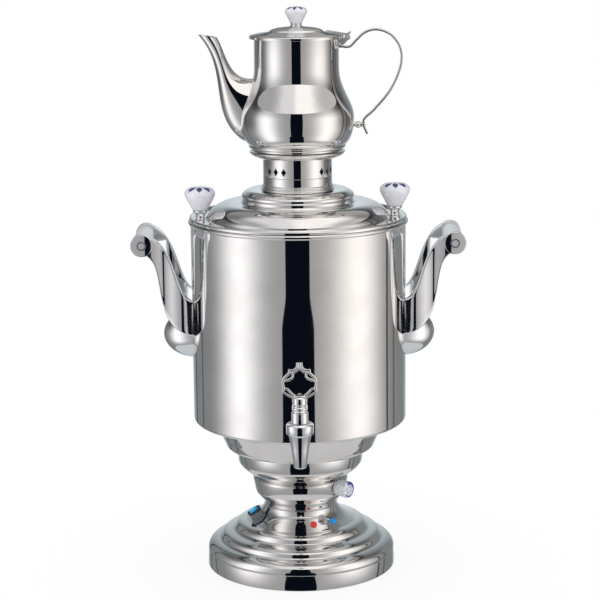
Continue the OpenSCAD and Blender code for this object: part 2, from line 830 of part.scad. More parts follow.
module thermostat_knob() color("aliceblue") {
    rotate([0, 0, knob_az]) translate([0, 0, stat_z]) difference() {
        rotate([90, 0, 0]) rotate_extrude() polygon(concat(
            [[0, ring_r + gap], [stat_knob_d / 2 - 2, ring_r + gap], [stat_knob_d / 2 - 1, ring_r + gap + 1.5],
                [stat_knob_d / 2, ring_r + stat_knob_l - 5]],
            arc([stat_knob_d / 2 - 2.5, ring_r + stat_knob_l + gap - 2.5], 2.5, 0, 90, 5),
            [[0, ring_r + stat_knob_l + gap]]));
        bar_y(3, -ring_r - 10, -ring_r + 5);
    }
}

module thermostat_shaft() color("gold") {
    rotate([0, 0, knob_az]) translate([0, 0, stat_z]) bar_y(3, -ring_r - 10, -stat_front + 6 - gap);
}

// Lid

lid_outline = concat(
    [[collar_r - 7, z_cap], [collar_r + 2.2, z_cap]],
    curve([collar_r + 4, z_cap - 0.4], [collar_r + 12, z_cap - 0.8], [cap_r - 6, z_cap - 2.6],
        [cap_r - 2.6, z_cap - 4.8], 6),
    arc([cap_r - 3.4, z_cap - 8.2], 3.4, 60, -50, 6),
    [[cap_r - 0.6, z_cap - 12.6], [cap_r + 1, z_cap - 15.6]],
    curve([cap_r + 6, z_cap - 17.2], [cap_r + 24, z_cap - 17.8], [trough_in - 11.4, z_cap - 20.5],
        [trough_in - 3.4, z_mouth + 5.5]),
    curve([trough_in - 2.6, z_mouth + 3.6], [trough_in - 2, z_mouth + 1.5], [trough_in - 1, trough_z],
        [trough_in, trough_z], 5),
    [[trough_out, trough_z]],
    curve([lid_r - 6.6, z_mouth + 0.8], [lid_r - 6, z_mouth + 2], [lid_r - 5, z_mouth + 4], [lid_r - 3, z_mouth + 4.2], 5),
    arc([lid_r - 1.8, z_mouth + 2.4], 1.8, 90, 0, 5),
    [[lid_r, z_mouth + gap]]);

module lid_shell() color("silver") {
    difference() {
        union() {
            turned(reversed(lid_outline), sheet);
            ring(lid_r - 3.4, lid_r - 4.4, z_mouth - 9, 12.4);
        }
        lid_knob_places() cylinder(d = 4, h = 20, center = true);
    }
}

// Children at the two knobs, on the lid's trough
module lid_knob_places() {
    for (a = [0, 180]) rotate([0, 0, lid_knob_turn + a]) translate([lid_knob_r, 0, trough_z]) children();
}

neck_outline = concat(
    [[collar_r + 0.6, z_cap]],
    arc([collar_r + 0.9, z_cap + 2.3], 2, -90, 80, 6),
    arc([collar_r + 0.1, z_cap + 6.2], 1.5, -60, 60, 5),
    [[collar_r, z_cap + 8], [collar_r, z_neck]]);

module neck_ring() color("silver") {
    turned(neck_outline, sheet);
    ring(collar_r + 0.6, collar_r - 3, z_cap, sheet);
}

module lid_knob_stems() color("silver") {
    h = lid_stem_h;
    lid_knob_places() difference() {
        rotate_extrude() polygon(concat(
            [[0, 0], [6, 0], [6, 1]],
            curve([5.8, 1.4], [5, 2.4], [5.2, h - 6], [7, h - 4], 6),
            [[9, h - 2.6], [9, h - 0.6], [8, h], [0, h]]));
        translate([0, 0, -1]) cylinder(d = 4, h = h + 2);
    }
}

// A porcelain knob: wide shoulder, shallow dome, straight taper down to its seat
module porcelain(r, h, seat) {
    rotate_extrude() polygon(concat(
        [[0, 0], [seat, 0]],
        curve([seat + 0.06 * r, 0.03 * h], [0.72 * r, 0.3 * h], [0.94 * r, 0.52 * h], [0.985 * r, 0.64 * h], 8),
        curve([r, 0.7 * h], [1.01 * r, 0.8 * h], [0.84 * r, 0.93 * h], [0.5 * r, 0.97 * h], 8),
        [[0, h]]));
}

module lid_knobs() color("white") {
    lid_knob_places() translate([0, 0, lid_stem_h]) difference() {
        porcelain(lid_knob_d / 2, lid_knob_h, 8.8);
        translate([0, 0, -1]) cylinder(d = 4, h = 14);
    }
}

module lid_studs() color("gray") {
    lid_knob_places() {
        translate([0, 0, -sheet - 6]) cylinder(d = 4, h = sheet + 6 + lid_stem_h + 12);
        translate([0, 0, -sheet - 4.2]) cylinder(r = 4, h = 3.2, $fn = 6);
        translate([0, 0, -sheet - 1]) cylinder(r = 5, h = 1);
    }
}

// Crown

// The collar's spigot goes down into the neck ring
spigot_r = collar_r - sheet - gap;

module crown_collar() color("silver") {
    difference() {
        rotate_extrude() polygon([[collar_r, z_crown], [collar_r, z_pan], [collar_r - sheet, z_pan],
            [collar_r - sheet, z_crown + 1.6], [spigot_r - sheet, z_crown + 1.6], [spigot_r - sheet, z_crown - 8],
            [spigot_r, z_crown - 8], [spigot_r, z_crown]]);
        for (g = [-38.5, 58.5, 141.5, 238.5], k = [-1:1])
            rotate([0, 0, g + k * 15]) translate([0, -collar_r + 5, z_crown + 8])
                rotate([90, 0, 0]) linear_extrude(12)
                    polygon([[diamond_w / 2, 0], [0, diamond_h / 2], [-diamond_w / 2, 0], [0, -diamond_h / 2]]);
    }
}

pan_outline = concat(
    [[collar_r - 6, z_pan]],
    [[collar_r + 1, z_pan]],
    curve([collar_r + 2.4, z_pan + 0.4], [collar_r + 9, z_pan + 2], [pan_r - 1.4, z_pan + 4], [pan_r, z_pan + 8], 8),
    [[pan_r, z_pan + 9]]);

module crown_pan() color("silver") {
    turned(pan_outline, sheet);
    translate([0, 0, z_pan]) rotate_extrude() polygon([[pan_r - 1.6, 7], [pan_r, 7.4], [pan_r + 0.4, 8.6],
        [pan_r, 9.6], [pan_r - 1.2, 9.8], [pan_r - 2, 9]]);
    ring(collar_r + 1, collar_r - 2, z_pan, 8.3);
}

// Teapot

pot_outline = concat(
    [[0, z_pot], [50, z_pot]],
    arc([53, z_pot + 2.9], 2.9, -80, 60, 6),
    arc([57, z_pot + 7], 2.8, -50, 50, 5),
    curve([belly_r - 9.4, z_pot + 9.4], [belly_r - 3.5, z_pot + 15], [belly_r, z_pot + 26], [belly_r, z_pot + 38]),
    curve([belly_r, z_pot + 42], [belly_r, z_pot + 61], [neck_r + 0.3, z_pot + 75], [neck_r + 0.2, z_pot + 102]),
    [[neck_r, z_pot_top]]);

module teapot_body() color("silver") {
    difference() {
        turned(pot_outline, pot_wall);
        for (y = [-1:1], k = [-1:1])
            translate([-neck_r, y * 7, z_pot + 58 + k * 7]) bar_x(2.2, -30, 0);
    }
}

// Two edges of the spout in the plane of symmetry, and its half depth
spout_low = curve([-neck_r - 12, z_pot + 11], [-neck_r - 61, z_pot + 43.7], [-spout_reach + 39.6, z_pot + 98.9],
    [-spout_reach, z_pot_top + 5.7], 14);
spout_high = curve([-neck_r - 1, z_pot + 89], [-neck_r - 31.6, z_pot + 86.3], [-neck_r - 33, z_pot + 120.2],
    [-spout_reach + 23, z_pot_top + 2.1], 14);
spout_depth = curve([19, 0], [19, 0], [9, 0], [8.5, 0], 14);
spout_sides = 24;
// The foot's straight edges clear the round belly by this much
foot_gap = 0.15;

// Radius of the teapot's belly at height z, for the spout's foot to lie on
belly_table = [for (p = pot_outline) if (p.y > z_pot + 10) [p.y, p.x]];

// One ring of the spout's skin, drawn in by the wall; the first lies on the belly
function spout_ring(i, wall) =
    let (a = spout_low[i], b = spout_high[i], m = (a + b) / 2, u = unit(b - a), h = norm(b - a) / 2 - wall)
    [for (k = [0:spout_sides - 1])
        let (t = 360 * k / spout_sides, y = (spout_depth[i].x - wall) * sin(t), z = m.y + h * cos(t) * u.y,
            belly = lookup(z, belly_table))
        [i == 0 ? -sqrt(belly * belly - y * y) - foot_gap : m.x + h * cos(t) * u.x, y, z]];

module teapot_spout() color("silver") {
    last = len(spout_low) - 1;
    rings = concat([for (i = [0:last]) spout_ring(i, 0)], [for (i = [last:-1:0]) spout_ring(i, pot_wall)]);
    n = len(rings);
    m = spout_sides;
    polyhedron([for (r = rings) for (p = r) p],
        [for (i = [0:n - 1], k = [0:m - 1])
            let (a = i * m, b = (i + 1) % n * m, l = (k + 1) % m)
            each [[a + k, a + l, b + l], [a + k, b + l, b + k]]]);
}

// A point of the handle's middle line: share of its reach past the neck, share of the body's height
function loop_point(u, v) = [neck_r + u * handle_out, z_pot + v * pot_h];
rivet_z = z_pot + 0.2296 * pot_h;
strip_line = through([loop_point(0.05, 0.9271), loop_point(0.175, 0.9257), loop_point(0.2825, 0.981),
    loop_point(0.425, 1.0496), loop_point(0.625, 1.0736), loop_point(0.85, 1.024), loop_point(1, 0.9001),
    loop_point(1, 0.7434), loop_point(0.8375, 0.5394), loop_point(0.575, 0.3681),
    [belly_r + 13, z_pot + 0.2879 * pot_h], [belly_r + rivet_out, rivet_z],
    [belly_r + rivet_out + 4.6, z_pot + 0.1494 * pot_h]], 5);

// The handle's strip, before its holes
module strip() {
    edge = inset(strip_line, -strip_t / 2);
    back = inset(strip_line, strip_t / 2);
    translate([0, strip_w / 2, 0]) rotate([90, 0, 0]) linear_extrude(strip_w)
        polygon(concat(edge, reversed(back)));
    translate([neck_r - 2, -strip_w / 2, loop_point(0, 0.9271).y - strip_t / 2]) cube([8, strip_w, strip_t]);
}

module teapot_handle() color("silver") {
    difference() {
        strip();
        translate([0, 0, z_pot + 0.73 * pot_h]) cylinder(r = neck_r + 0.1, h = pot_h / 2);
        translate([0, 0, rivet_z]) bar_x(2, belly_r - 5, belly_r + 30);
    }
}

module handle_rivet() color("silver") {
    strip_x = belly_r + rivet_out;
    difference() {
        union() {
            translate([strip_x - rivet_ball_r - strip_t / 2 - 0.9, 0, rivet_z]) sphere(r = rivet_ball_r);
            translate([0, 0, rivet_z]) difference() {
                union() {
                    bar_x(3, belly_r - 3, strip_x);
                    bar_x(3.4, strip_x, strip_x + strip_t / 2 + 0.9);
                }
                translate([0, 0, -rivet_z]) strip();
            }
            translate([0, 0, rivet_z]) bar_x(2, belly_r - 3, strip_x + strip_t / 2 + 0.5);
        }
        rotate_extrude() polygon(concat(pot_outline, [[0, z_pot_top]]));
    }
}

module at_hinge() translate([hinge_x, 0, hinge_z]) children();
ear_t = 1.6;
ear_y = 4.8;
barrel_r = 3.2;

module hinge_bracket() color("silver") {
    difference() {
        for (s = [-1, 1]) translate([0, s * (ear_y + ear_t / 2) + ear_t / 2, 0]) rotate([90, 0, 0])
            linear_extrude(ear_t) difference() {
                union() {
                    translate([hinge_x, hinge_z]) circle(r = barrel_r);
                    polygon([[neck_r - 3, z_pot_top - 9], [neck_r + 6, z_pot_top - 7.5],
                        [hinge_x + barrel_r, hinge_z], [pot_lid_r + 0.8, hinge_z],
                        [pot_lid_r + 0.8, z_pot_top - 0.8], [neck_r - 3, z_pot_top - 0.8]]);
                }
                translate([hinge_x, hinge_z]) circle(d = hinge_pin_d);
            }
        translate([0, 0, z_pot + 90]) cylinder(r = neck_r + 0.1, h = 60);
    }
}

module hinge_pin() color("gray") {
    at_hinge() {
        bar_y(hinge_pin_d / 2, -ear_y - ear_t, ear_y + ear_t);
        for (s = [0, 1]) mirror([0, s, 0]) bar_y(hinge_pin_d / 2 + 0.7, ear_y + ear_t, ear_y + ear_t + 0.8);
    }
}

// Teapot lid

z_lid = z_pot_top + gap;
pot_lid_outline = concat(
    [[pot_lid_r, z_lid], [pot_lid_r, z_lid + 2.8]],
    arc([pot_lid_r - 1.4, z_lid + 2.8], 1.4, 10, 75, 4),
    [[pot_lid_r - 8, z_lid + 6], [34, z_lid + 8.2]],
    curve([33, z_lid + 8.6], [31.6, z_lid + 11.4], [24, z_lid + 13.4], [8, z_lid + pot_lid_h], 6),
    [[0, z_lid + pot_lid_h]]);

module teapot_lid() color("silver") {
    difference() {
        union() {
            turned(pot_lid_outline, sheet);
            ring(pot_lid_r - eps, neck_r - pot_wall - 1.5, z_lid, sheet);
            ring(neck_r - pot_wall - 0.5, neck_r - pot_wall - 1.5, z_lid - 6, 11);
        }
        translate([0, 0, z_lid]) cylinder(d = 4, h = 40);
    }
}

// Strap from the lid's top to the hinge barrel, with a short thumb tab
module lid_strap() color("silver") {
    strap_w = 2 * (ear_y - gap);
    difference() {
        union() {
            translate([0, strap_w / 2, 0]) rotate([90, 0, 0]) linear_extrude(strap_w)
                polygon([[37, z_lid + 6], [pot_lid_r - 8, z_lid + 5],
                    [pot_lid_r - 1.2, z_lid + 4], [hinge_x - 1, hinge_z + 2.4], [hinge_x + 1, hinge_z + 2.6],
                    [hinge_x + 4.2, hinge_z + 6], [hinge_x + 3.4, hinge_z + 7],
                    [hinge_x - 0.6, hinge_z + 4.4], [pot_lid_r - 1, z_lid + 6], [37, z_lid + 9.4]]);
            at_hinge() bar_y(barrel_r, -strap_w / 2, strap_w / 2);
        }
        at_hinge() bar_y(hinge_pin_d / 2 + shaft_clear, -20, 20);
        rotate_extrude() polygon(concat(pot_lid_outline, [[0, z_lid]]));
    }
}

z_ferrule = z_lid + pot_lid_h;

module knob_ferrule() color("silver") {
    translate([0, 0, z_ferrule])
        rotate_extrude() polygon([[2, 0], [7.6, 0], [7.6, 1], [6.4, 1.6], [6.4, 2.6], [7.2, 3.2], [7.2, 3.9],
            [2, 3.9]]);
}

module teapot_knob() color("white") {
    translate([0, 0, z_ferrule + 3.9]) difference() {
        porcelain(pot_knob_d / 2, pot_knob_h, 6.8);
        translate([0, 0, -1]) cylinder(d = 4, h = 11);
    }
}

module teapot_knob_screw() color("gray") {
    translate([0, 0, z_ferrule - sheet - 2]) cylinder(r = 3.6, h = 2);
    translate([0, 0, z_ferrule - sheet - 1]) cylinder(d = 4, h = sheet + 1 + 3.9 + 8);
}

base_band();
base_bell();
bottom_cover();
cover_screws();
rubber_feet();
tie_rod();
tie_nuts();
thermostat_ring();
lower_bowl();
upper_bowl();
tank_shell();
arms_left();
arms_right();
boss_left();
boss_right();
grip_left();
grip_right();
grip_screws();
handle_bolts();
handle_seals();
tap_body();
tap_sleeve();
tap_bonnet();
tap_wall_nut();
tap_gaskets();
tap_key();
tap_plug();
heating_element();
element_nuts();
element_gaskets();
cutout_disc();
thermostat_body();
terminal_block();
cable_gland();
switch_housing();
switch_rocker();
red_lamp();
blue_lamp();
thermostat_knob();
thermostat_shaft();
lid_shell();
neck_ring();
lid_knob_stems();
lid_knobs();
lid_studs();
crown_collar();
crown_pan();
teapot_body();
teapot_spout();
teapot_handle();
handle_rivet();
hinge_bracket();
hinge_pin();
teapot_lid();
lid_strap();
knob_ferrule();
teapot_knob();
teapot_knob_screw();
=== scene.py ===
"""The looks of an electric samovar with a teapot on its crown.

Outlines are lists of (distance from the axis, height) in millimetres, as on a drawing; meshes are in metres.
The front, with the tap, faces -Y.
"""

import json
import logging
import math
from collections.abc import Callable, Iterable, Sequence
from dataclasses import dataclass, field
from enum import Enum

import bmesh
import bpy
from mathutils import Matrix, Vector


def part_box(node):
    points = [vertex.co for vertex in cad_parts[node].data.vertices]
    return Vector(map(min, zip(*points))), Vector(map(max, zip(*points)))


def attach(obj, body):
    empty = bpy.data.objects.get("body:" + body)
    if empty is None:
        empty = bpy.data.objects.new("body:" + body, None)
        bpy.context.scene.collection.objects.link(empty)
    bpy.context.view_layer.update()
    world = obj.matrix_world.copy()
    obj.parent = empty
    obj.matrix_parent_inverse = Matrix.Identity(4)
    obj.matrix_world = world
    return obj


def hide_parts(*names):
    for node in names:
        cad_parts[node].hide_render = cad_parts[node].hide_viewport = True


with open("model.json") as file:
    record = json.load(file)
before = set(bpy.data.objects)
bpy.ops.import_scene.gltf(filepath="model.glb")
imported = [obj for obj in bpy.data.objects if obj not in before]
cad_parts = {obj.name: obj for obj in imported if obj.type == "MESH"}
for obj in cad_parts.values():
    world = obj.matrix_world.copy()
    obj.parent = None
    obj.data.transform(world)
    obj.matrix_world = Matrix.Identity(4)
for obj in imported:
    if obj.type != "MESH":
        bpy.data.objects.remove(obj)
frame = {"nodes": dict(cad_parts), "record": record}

logging.basicConfig(level=logging.INFO, format="%(message)s")
LOG = logging.getLogger("samovar")

MM = 0.001
TINY = 1e-6
BLUNT = 150.0  # corners blunter than this, in degrees, aren't rounded
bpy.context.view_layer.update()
Point = tuple[float, float]
Triple = tuple[float, float, float]
Mesh = bmesh.types.BMesh


# Outlines


def arc(c: Point, r: float, start: float, end: float, n: int = 12) -> list[Point]:
    """Points along an arc.

    Args:
        c: The arc's centre.
        r: Its radius.
        start: The first point's angle in degrees.
        end: The last point's angle in degrees.
        n: How many steps it takes.

    Returns:
        The points, both ends included.
    """
    angles = [math.radians(start + (end - start) * i / n) for i in range(n + 1)]
    return [(c[0] + r * math.cos(a), c[1] + r * math.sin(a)) for a in angles]


def curve(a: Point, b: Point, c: Point, d: Point, n: int = 20) -> list[Point]:
    """Points along a cubic curve.

    Args:
        a: The first point.
        b: The handle of the first point.
        c: The handle of the last point.
        d: The last point.
        n: How many steps it takes.

    Returns:
        The points, both ends included.
    """
    line = []
    for i in range(n + 1):
        t = i / n
        w = ((1 - t) ** 3, 3 * t * (1 - t) ** 2, 3 * t * t * (1 - t), t**3)
        line.append(tuple(sum(k * p[m] for k, p in zip(w, (a, b, c, d))) for m in (0, 1)))
    return line


def through(points: Sequence[Point], n: int) -> list[Point]:
    """A smooth line through chosen points.

    Args:
        points: The points it runs through.
        n: Steps between one point and the next.

    Returns:
        The line's points.
    """
    line = []
    for i in range(len(points) - 1):
        a, b, c, d = (points[min(max(k, 0), len(points) - 1)] for k in (i - 1, i, i + 1, i + 2))
        for k in range(n):
            t = k / n
            w = (-t + 2 * t**2 - t**3, 2 - 5 * t**2 + 3 * t**3, t + 4 * t**2 - 3 * t**3, -(t**2) + t**3)
            line.append(tuple(0.5 * sum(f * p[m] for f, p in zip(w, (a, b, c, d))) for m in (0, 1)))
    return line + [points[-1]]


def along_line(points: Sequence[Point]) -> list[tuple[Vector, Vector]]:
    """Walks along a line.

    Args:
        points: The line.

    Returns:
        Each point with the line's direction there.
    """
    last = len(points) - 1
    ways = [Vector(points[min(i + 1, last)]) - Vector(points[max(i - 1, 0)]) for i in range(last + 1)]
    return [(Vector(p), way.normalized()) for p, way in zip(points, ways)]


def inset(points: Sequence[Point], d: float) -> list[Point]:
    """The outline moved to its left by d, as a wall's other face.

    Args:
        points: The outline.
        d: How far it moves.

    Returns:
        The moved outline.
    """
    moved_points = []
    for i, p in enumerate(points):
        a, b = points[max(i - 1, 0)], points[min(i + 1, len(points) - 1)]
        run, rise = b[0] - a[0], b[1] - a[1]
        size = math.hypot(run, rise) or 1.0
        moved_points.append((p[0] - d * rise / size, p[1] + d * run / size))
    return moved_points


def eased(points: Sequence[Point], r: float, steps: int = 3) -> list[Point]:
    """A closed outline with its sharp corners rounded over.

    Args:
        points: The closed outline, its first point not repeated.
        r: How far along each side a corner's rounding reaches.
        steps: Steps round each corner.

    Returns:
        The rounded outline.
    """
    line = []
    for i, p in enumerate(points):
        v = Vector(p)
        back, ahead = Vector(points[i - 1]) - v, Vector(points[(i + 1) % len(points)]) - v
        if back.length < TINY or ahead.length < TINY:
            continue
        if math.degrees(back.angle(ahead)) > BLUNT or abs(v.x) < TINY:
            line.append((v.x, v.y))
            continue
        reach = min(r, 0.45 * back.length, 0.45 * ahead.length)
        start, end = v + back.normalized() * reach, v + ahead.normalized() * reach
        for t in (k / steps for k in range(steps + 1)):
            q = start * (1 - t) ** 2 + v * 2 * t * (1 - t) + end * t * t
            line.append((q.x, q.y))
    return line


def rounded_box(half_x: float, half_y: float, r: float, corner: int = 5, side: int = 3) -> list[Point]:
    """A rounded rectangle, in metres.

    Args:
        half_x: Half its width in millimetres.
        half_y: Half its height in millimetres.
        r: Its corner radius in millimetres.
        corner: Steps round a corner.
        side: Steps along a side.

    Returns:
        Its points, counter-clockwise.
    """
    r = min(r, 0.95 * half_x, 0.95 * half_y)
    points = []
    for k, (sx, sy) in enumerate(((1, 1), (-1, 1), (-1, -1), (1, -1))):
        points += arc((sx * (half_x - r), sy * (half_y - r)), r, 90 * k, 90 * k + 90, corner)
    line = []
    for i, (x, y) in enumerate(points):
        end_x, end_y = points[(i + 1) % len(points)]
        line.append((x, y))
        if i % (corner + 1) == corner:
            line += [(x + (end_x - x) * j / side, y + (end_y - y) * j / side) for j in range(1, side)]
    return [(x * MM, y * MM) for x, y in line]


def oval(half_x: float, half_y: float, sides: int) -> list[Point]:
    """An oval, in metres.

    Args:
        half_x: Half its width in millimetres.
        half_y: Half its height in millimetres.
        sides: How many points it has.

    Returns:
        Its points, counter-clockwise.
    """
    turns = [math.tau * k / sides for k in range(sides)]
    return [(half_x * MM * math.cos(t), half_y * MM * math.sin(t)) for t in turns]


# Shader maths


def _maths(operation: str, flipped: bool = False) -> Callable[..., "Sock"]:
    """Makes a method of Sock that adds one Math node.

    Args:
        operation: The node's operation.
        flipped: Whether the other value comes first.

    Returns:
        The method.
    """

    def method(self: "Sock", *others: "Sock | float") -> "Sock":
        """Adds the Math node and gives its output."""
        values = (*others, self) if flipped else (self, *others)
        return self.book.node("ShaderNodeMath", {"operation": operation}, dict(enumerate(values)))

    return method


class Sock:
    """A node's output that can be used in plain expressions."""

    __add__, __radd__ = _maths("ADD"), _maths("ADD", flipped=True)
    __sub__, __rsub__ = _maths("SUBTRACT"), _maths("SUBTRACT", flipped=True)
    __mul__, __rmul__ = _maths("MULTIPLY"), _maths("MULTIPLY", flipped=True)
    __truediv__, __rtruediv__ = _maths("DIVIDE"), _maths("DIVIDE", flipped=True)
    __lt__, __gt__ = _maths("LESS_THAN"), _maths("GREATER_THAN")
    least, most = _maths("MINIMUM"), _maths("MAXIMUM")
    absolute, root, exponent = _maths("ABSOLUTE"), _maths("SQRT"), _maths("EXPONENT")
    cosine, arc_cosine, arc_tangent = _maths("COSINE"), _maths("ARCCOSINE"), _maths("ARCTAN2")

    def __init__(self, book: "NodeBook", socket: bpy.types.NodeSocket):
        """Keeps the output and the book that adds nodes to its tree."""
        self.book = book
        self.socket = socket

    def step(self, low: float, high: float) -> "Sock":
        """A smooth step from 0 at low to 1 at high, either way round.

        Args:
            low: Where the step is 0.
            high: Where the step is 1.

        Returns:
            The stepped value.
        """
        values = {"Value": self, "From Min": low, "From Max": high}
        return self.book.node("ShaderNodeMapRange", {"interpolation_type": "SMOOTHSTEP"}, values)


class NodeBook:
    """Adds nodes to one node tree."""

    def __init__(self, owner: bpy.types.Material | bpy.types.World):
        """Turns the owner's nodes on, empties its tree and keeps it."""
        owner.use_nodes = True
        self.tree = owner.node_tree
        self.tree.nodes.clear()

    def node(
        self, kind: str, settings: dict | None = None, values: dict | None = None, out: int | str = 0
    ) -> Sock | None:
        """Adds one node.

        Args:
            kind: The node's type.
            settings: Its properties, which are set first.
            values: Numbers, colours or outputs for its inputs, by name or number.
            out: Which output is wanted.

        Returns:
            That output, or nothing if the node has none.
        """
        made = self.tree.nodes.new(kind)
        for name, value in (settings or {}).items():
            setattr(made, name, value)
        for name, value in (values or {}).items():
            socket = made.inputs[name]
            if isinstance(value, Sock):
                self.tree.links.new(value.socket, socket)
            else:
                socket.default_value = (*value, 1) if socket.type == "RGBA" else value
        return Sock(self, made.outputs[out]) if made.outputs else None

    def mix(self, factor: Sock | float, a: Sock | Triple, b: Sock | Triple) -> Sock:
        """Mixes two colours.

        Args:
            factor: 0 gives a, 1 gives b.
            a: The first colour.
            b: The second colour.

        Returns:
            The mixed colour.
        """
        return self.node("ShaderNodeMix", {"data_type": "RGBA"}, {0: factor, 6: a, 7: b}, out=2)

    def place(self) -> Sock:
        """Where a point lies, in metres."""
        return self.node("ShaderNodeTexCoord", out="Object")

    def offset(self, centre: Triple) -> Sock:
        """Where a point lies, seen from a centre."""
        return self.node("ShaderNodeVectorMath", {"operation": "SUBTRACT"}, {0: self.place(), 1: centre})

    def along(self, vector: Sock, axis: Triple) -> Sock:
        """How far a vector reaches along an axis."""
        values = {0: vector, 1: axis}
        return self.node("ShaderNodeVectorMath", {"operation": "DOT_PRODUCT"}, values, out="Value")

    def parts(self, vector: Sock) -> tuple[Sock, Sock, Sock]:
        """A vector's x, y and z."""
        outputs = self.node("ShaderNodeSeparateXYZ", values={0: vector}).socket.node.outputs
        return tuple(Sock(self, outputs[i]) for i in range(3))

    def noise(self, scale: float, detail: float = 2.0, stretch: Triple = (1, 1, 1)) -> Sock:
        """Cloudy noise, about 0.5 on average.

        Args:
            scale: Its size in clouds per metre.
            detail: How many finer layers it has.
            stretch: Scale along each axis.

        Returns:
            The noise.
        """
        where = self.node("ShaderNodeMapping", values={"Vector": self.place(), "Scale": stretch})
        return self.node("ShaderNodeTexNoise", values={"Vector": where, "Scale": scale, "Detail": detail})

    def bump(self, height: Sock, strength: float, depth: float) -> Sock:
        """A bumped normal.

        Args:
            height: The height, 0 to 1.
            strength: How strong the bump is.
            depth: The height of 1, in metres.

        Returns:
            The normal.
        """
        return self.node("ShaderNodeBump", values={"Height": height, "Strength": strength, "Distance": depth})


# Finishes


def shaded(colour: Triple, share: float) -> Triple:
    """A colour made darker or lighter."""
    return tuple(share * c for c in colour)


@dataclass(frozen=True)
class Finish:
    """A surface finish; each kind says what its surface shows.

    Attributes:
        name: The material's name.
        colour: Its main colour.
        roughness: Its roughness.
    """

    name: str
    colour: Triple
    roughness: float = 0.3

    def surface(self, book: NodeBook) -> dict:
        """The shader's inputs."""
        return {"Base Color": self.colour, "Roughness": self.roughness}

    def material(self) -> bpy.types.Material:
        """Makes the material once.

        Returns:
            The material.
        """
        made = bpy.data.materials.get(self.name)
        if made is None:
            made = bpy.data.materials.new(self.name)
            book = NodeBook(made)
            shader = book.node("ShaderNodeBsdfPrincipled", values=self.surface(book))
            book.node("ShaderNodeOutputMaterial", values={"Surface": shader})
        return made


@dataclass(frozen=True)
class Polished(Finish):
    """Mirror-polished metal with faint polishing haze and a barely uneven sheet.

    Attributes:
        unevenness: How much the sheet waves.
        haze: How much the haze roughens it.
        clouds: Clouds of haze per metre.
        waves: Waves per metre.
        depth: The waves' height in metres.
    """

    unevenness: float = 0.04
    haze: float = 0.04
    clouds: float = 26
    waves: float = 9
    depth: float = 0.002

    def surface(self, book: NodeBook) -> dict:
        """The shader's inputs."""
        cloud = book.noise(self.clouds, 3)
        return {
            "Base Color": book.mix(cloud.step(0.35, 0.7), self.colour, shaded(self.colour, 0.93)),
            "Metallic": 1.0,
            "Roughness": self.roughness + cloud.step(0.45, 0.8) * self.haze,
            "Normal": book.bump(book.noise(self.waves, 1), self.unevenness, self.depth),
        }


@dataclass(frozen=True)
class Satin(Finish):
    """Dull plated or turned metal, with fine upright marks.

    Attributes:
        grain: Marks per metre.
        stains: Darker stains per metre.
        depth: The marks' height in metres.
    """

    grain: float = 900
    stains: float = 60
    depth: float = 0.0001

    def surface(self, book: NodeBook) -> dict:
        """The shader's inputs."""
        marks = book.noise(self.grain, 3, stretch=(1, 1, 0.15))
        stain = book.noise(self.stains).step(0.4, 0.75)
        return {
            "Base Color": book.mix(stain, self.colour, shaded(self.colour, 0.8)),
            "Metallic": 1.0,
            "Roughness": self.roughness + marks * 0.15,
            "Normal": book.bump(marks, 0.25, self.depth),
        }


@dataclass(frozen=True)
class Moulded(Finish):
    """Moulded plastic or rubber with a fine skin.

    Attributes:
        skin: Strength of the skin's grain.
        coat: Weight of a glossy coat.
        grain: Grains per metre.
        clouds: Darker clouds per metre.
        depth: The grain's height in metres.
    """

    skin: float = 0.1
    coat: float = 0.0
    grain: float = 1400
    clouds: float = 45
    depth: float = 0.00008

    def surface(self, book: NodeBook) -> dict:
        """The shader's inputs."""
        skin = book.noise(self.grain)
        cloud = book.noise(self.clouds).step(0.35, 0.75)
        return {
            "Base Color": book.mix(cloud, self.colour, shaded(self.colour, 0.9)),
            "Roughness": self.roughness + skin * 0.08,
            "Coat Weight": self.coat,
            "Coat Roughness": 0.05,
            "Normal": book.bump(skin, self.skin, self.depth),
        }


@dataclass(frozen=True)
class Rimmed(Moulded):
    """Moulded plastic whose outer end is a dark tinted rim.

    Attributes:
        centre: A point at the rim's height, in metres.
        out: The direction of the piece's outer end.
        ink: The rim's colour.
    """

    centre: Triple = (0, 0, 0)
    out: Triple = (0, -1, 0)
    ink: Triple = (0.004, 0.03, 0.075)

    def surface(self, book: NodeBook) -> dict:
        """The shader's inputs."""
        shown = super().surface(book)
        level = book.along(book.offset(self.centre), self.out)
        shown["Base Color"] = book.mix(level.step(-0.0016, -0.0008), shown["Base Color"], self.ink)
        return shown


@dataclass(frozen=True)
class Lens(Finish):
    """A clear coloured lens; the lamp's light is painted into it, brighter in its middle.

    Attributes:
        centre: The lens's middle in metres.
        reach: Its radius in metres.
        core: The colour of its middle.
        glow: How much of its own light it gives.
    """

    centre: Triple = (0, 0, 0)
    reach: float = 0.005
    core: Triple = (1, 1, 1)
    glow: float = 0.2

    def surface(self, book: NodeBook) -> dict:
        """The shader's inputs."""
        offset = book.offset(self.centre)
        away = book.node("ShaderNodeVectorMath", {"operation": "LENGTH"}, {0: offset}, out="Value")
        # Painted light: the lamp's glow is painted brighter towards the middle, into the base colour as well
        # as the emission.
        shown = book.mix((away / self.reach).step(1.0, 0.15), self.colour, self.core)
        return {
            "Base Color": shown,
            "Emission Color": shown,
            "Emission Strength": self.glow,
            "Roughness": 0.12,
            "Coat Weight": 1.0,
            "Coat Roughness": 0.03,
        }


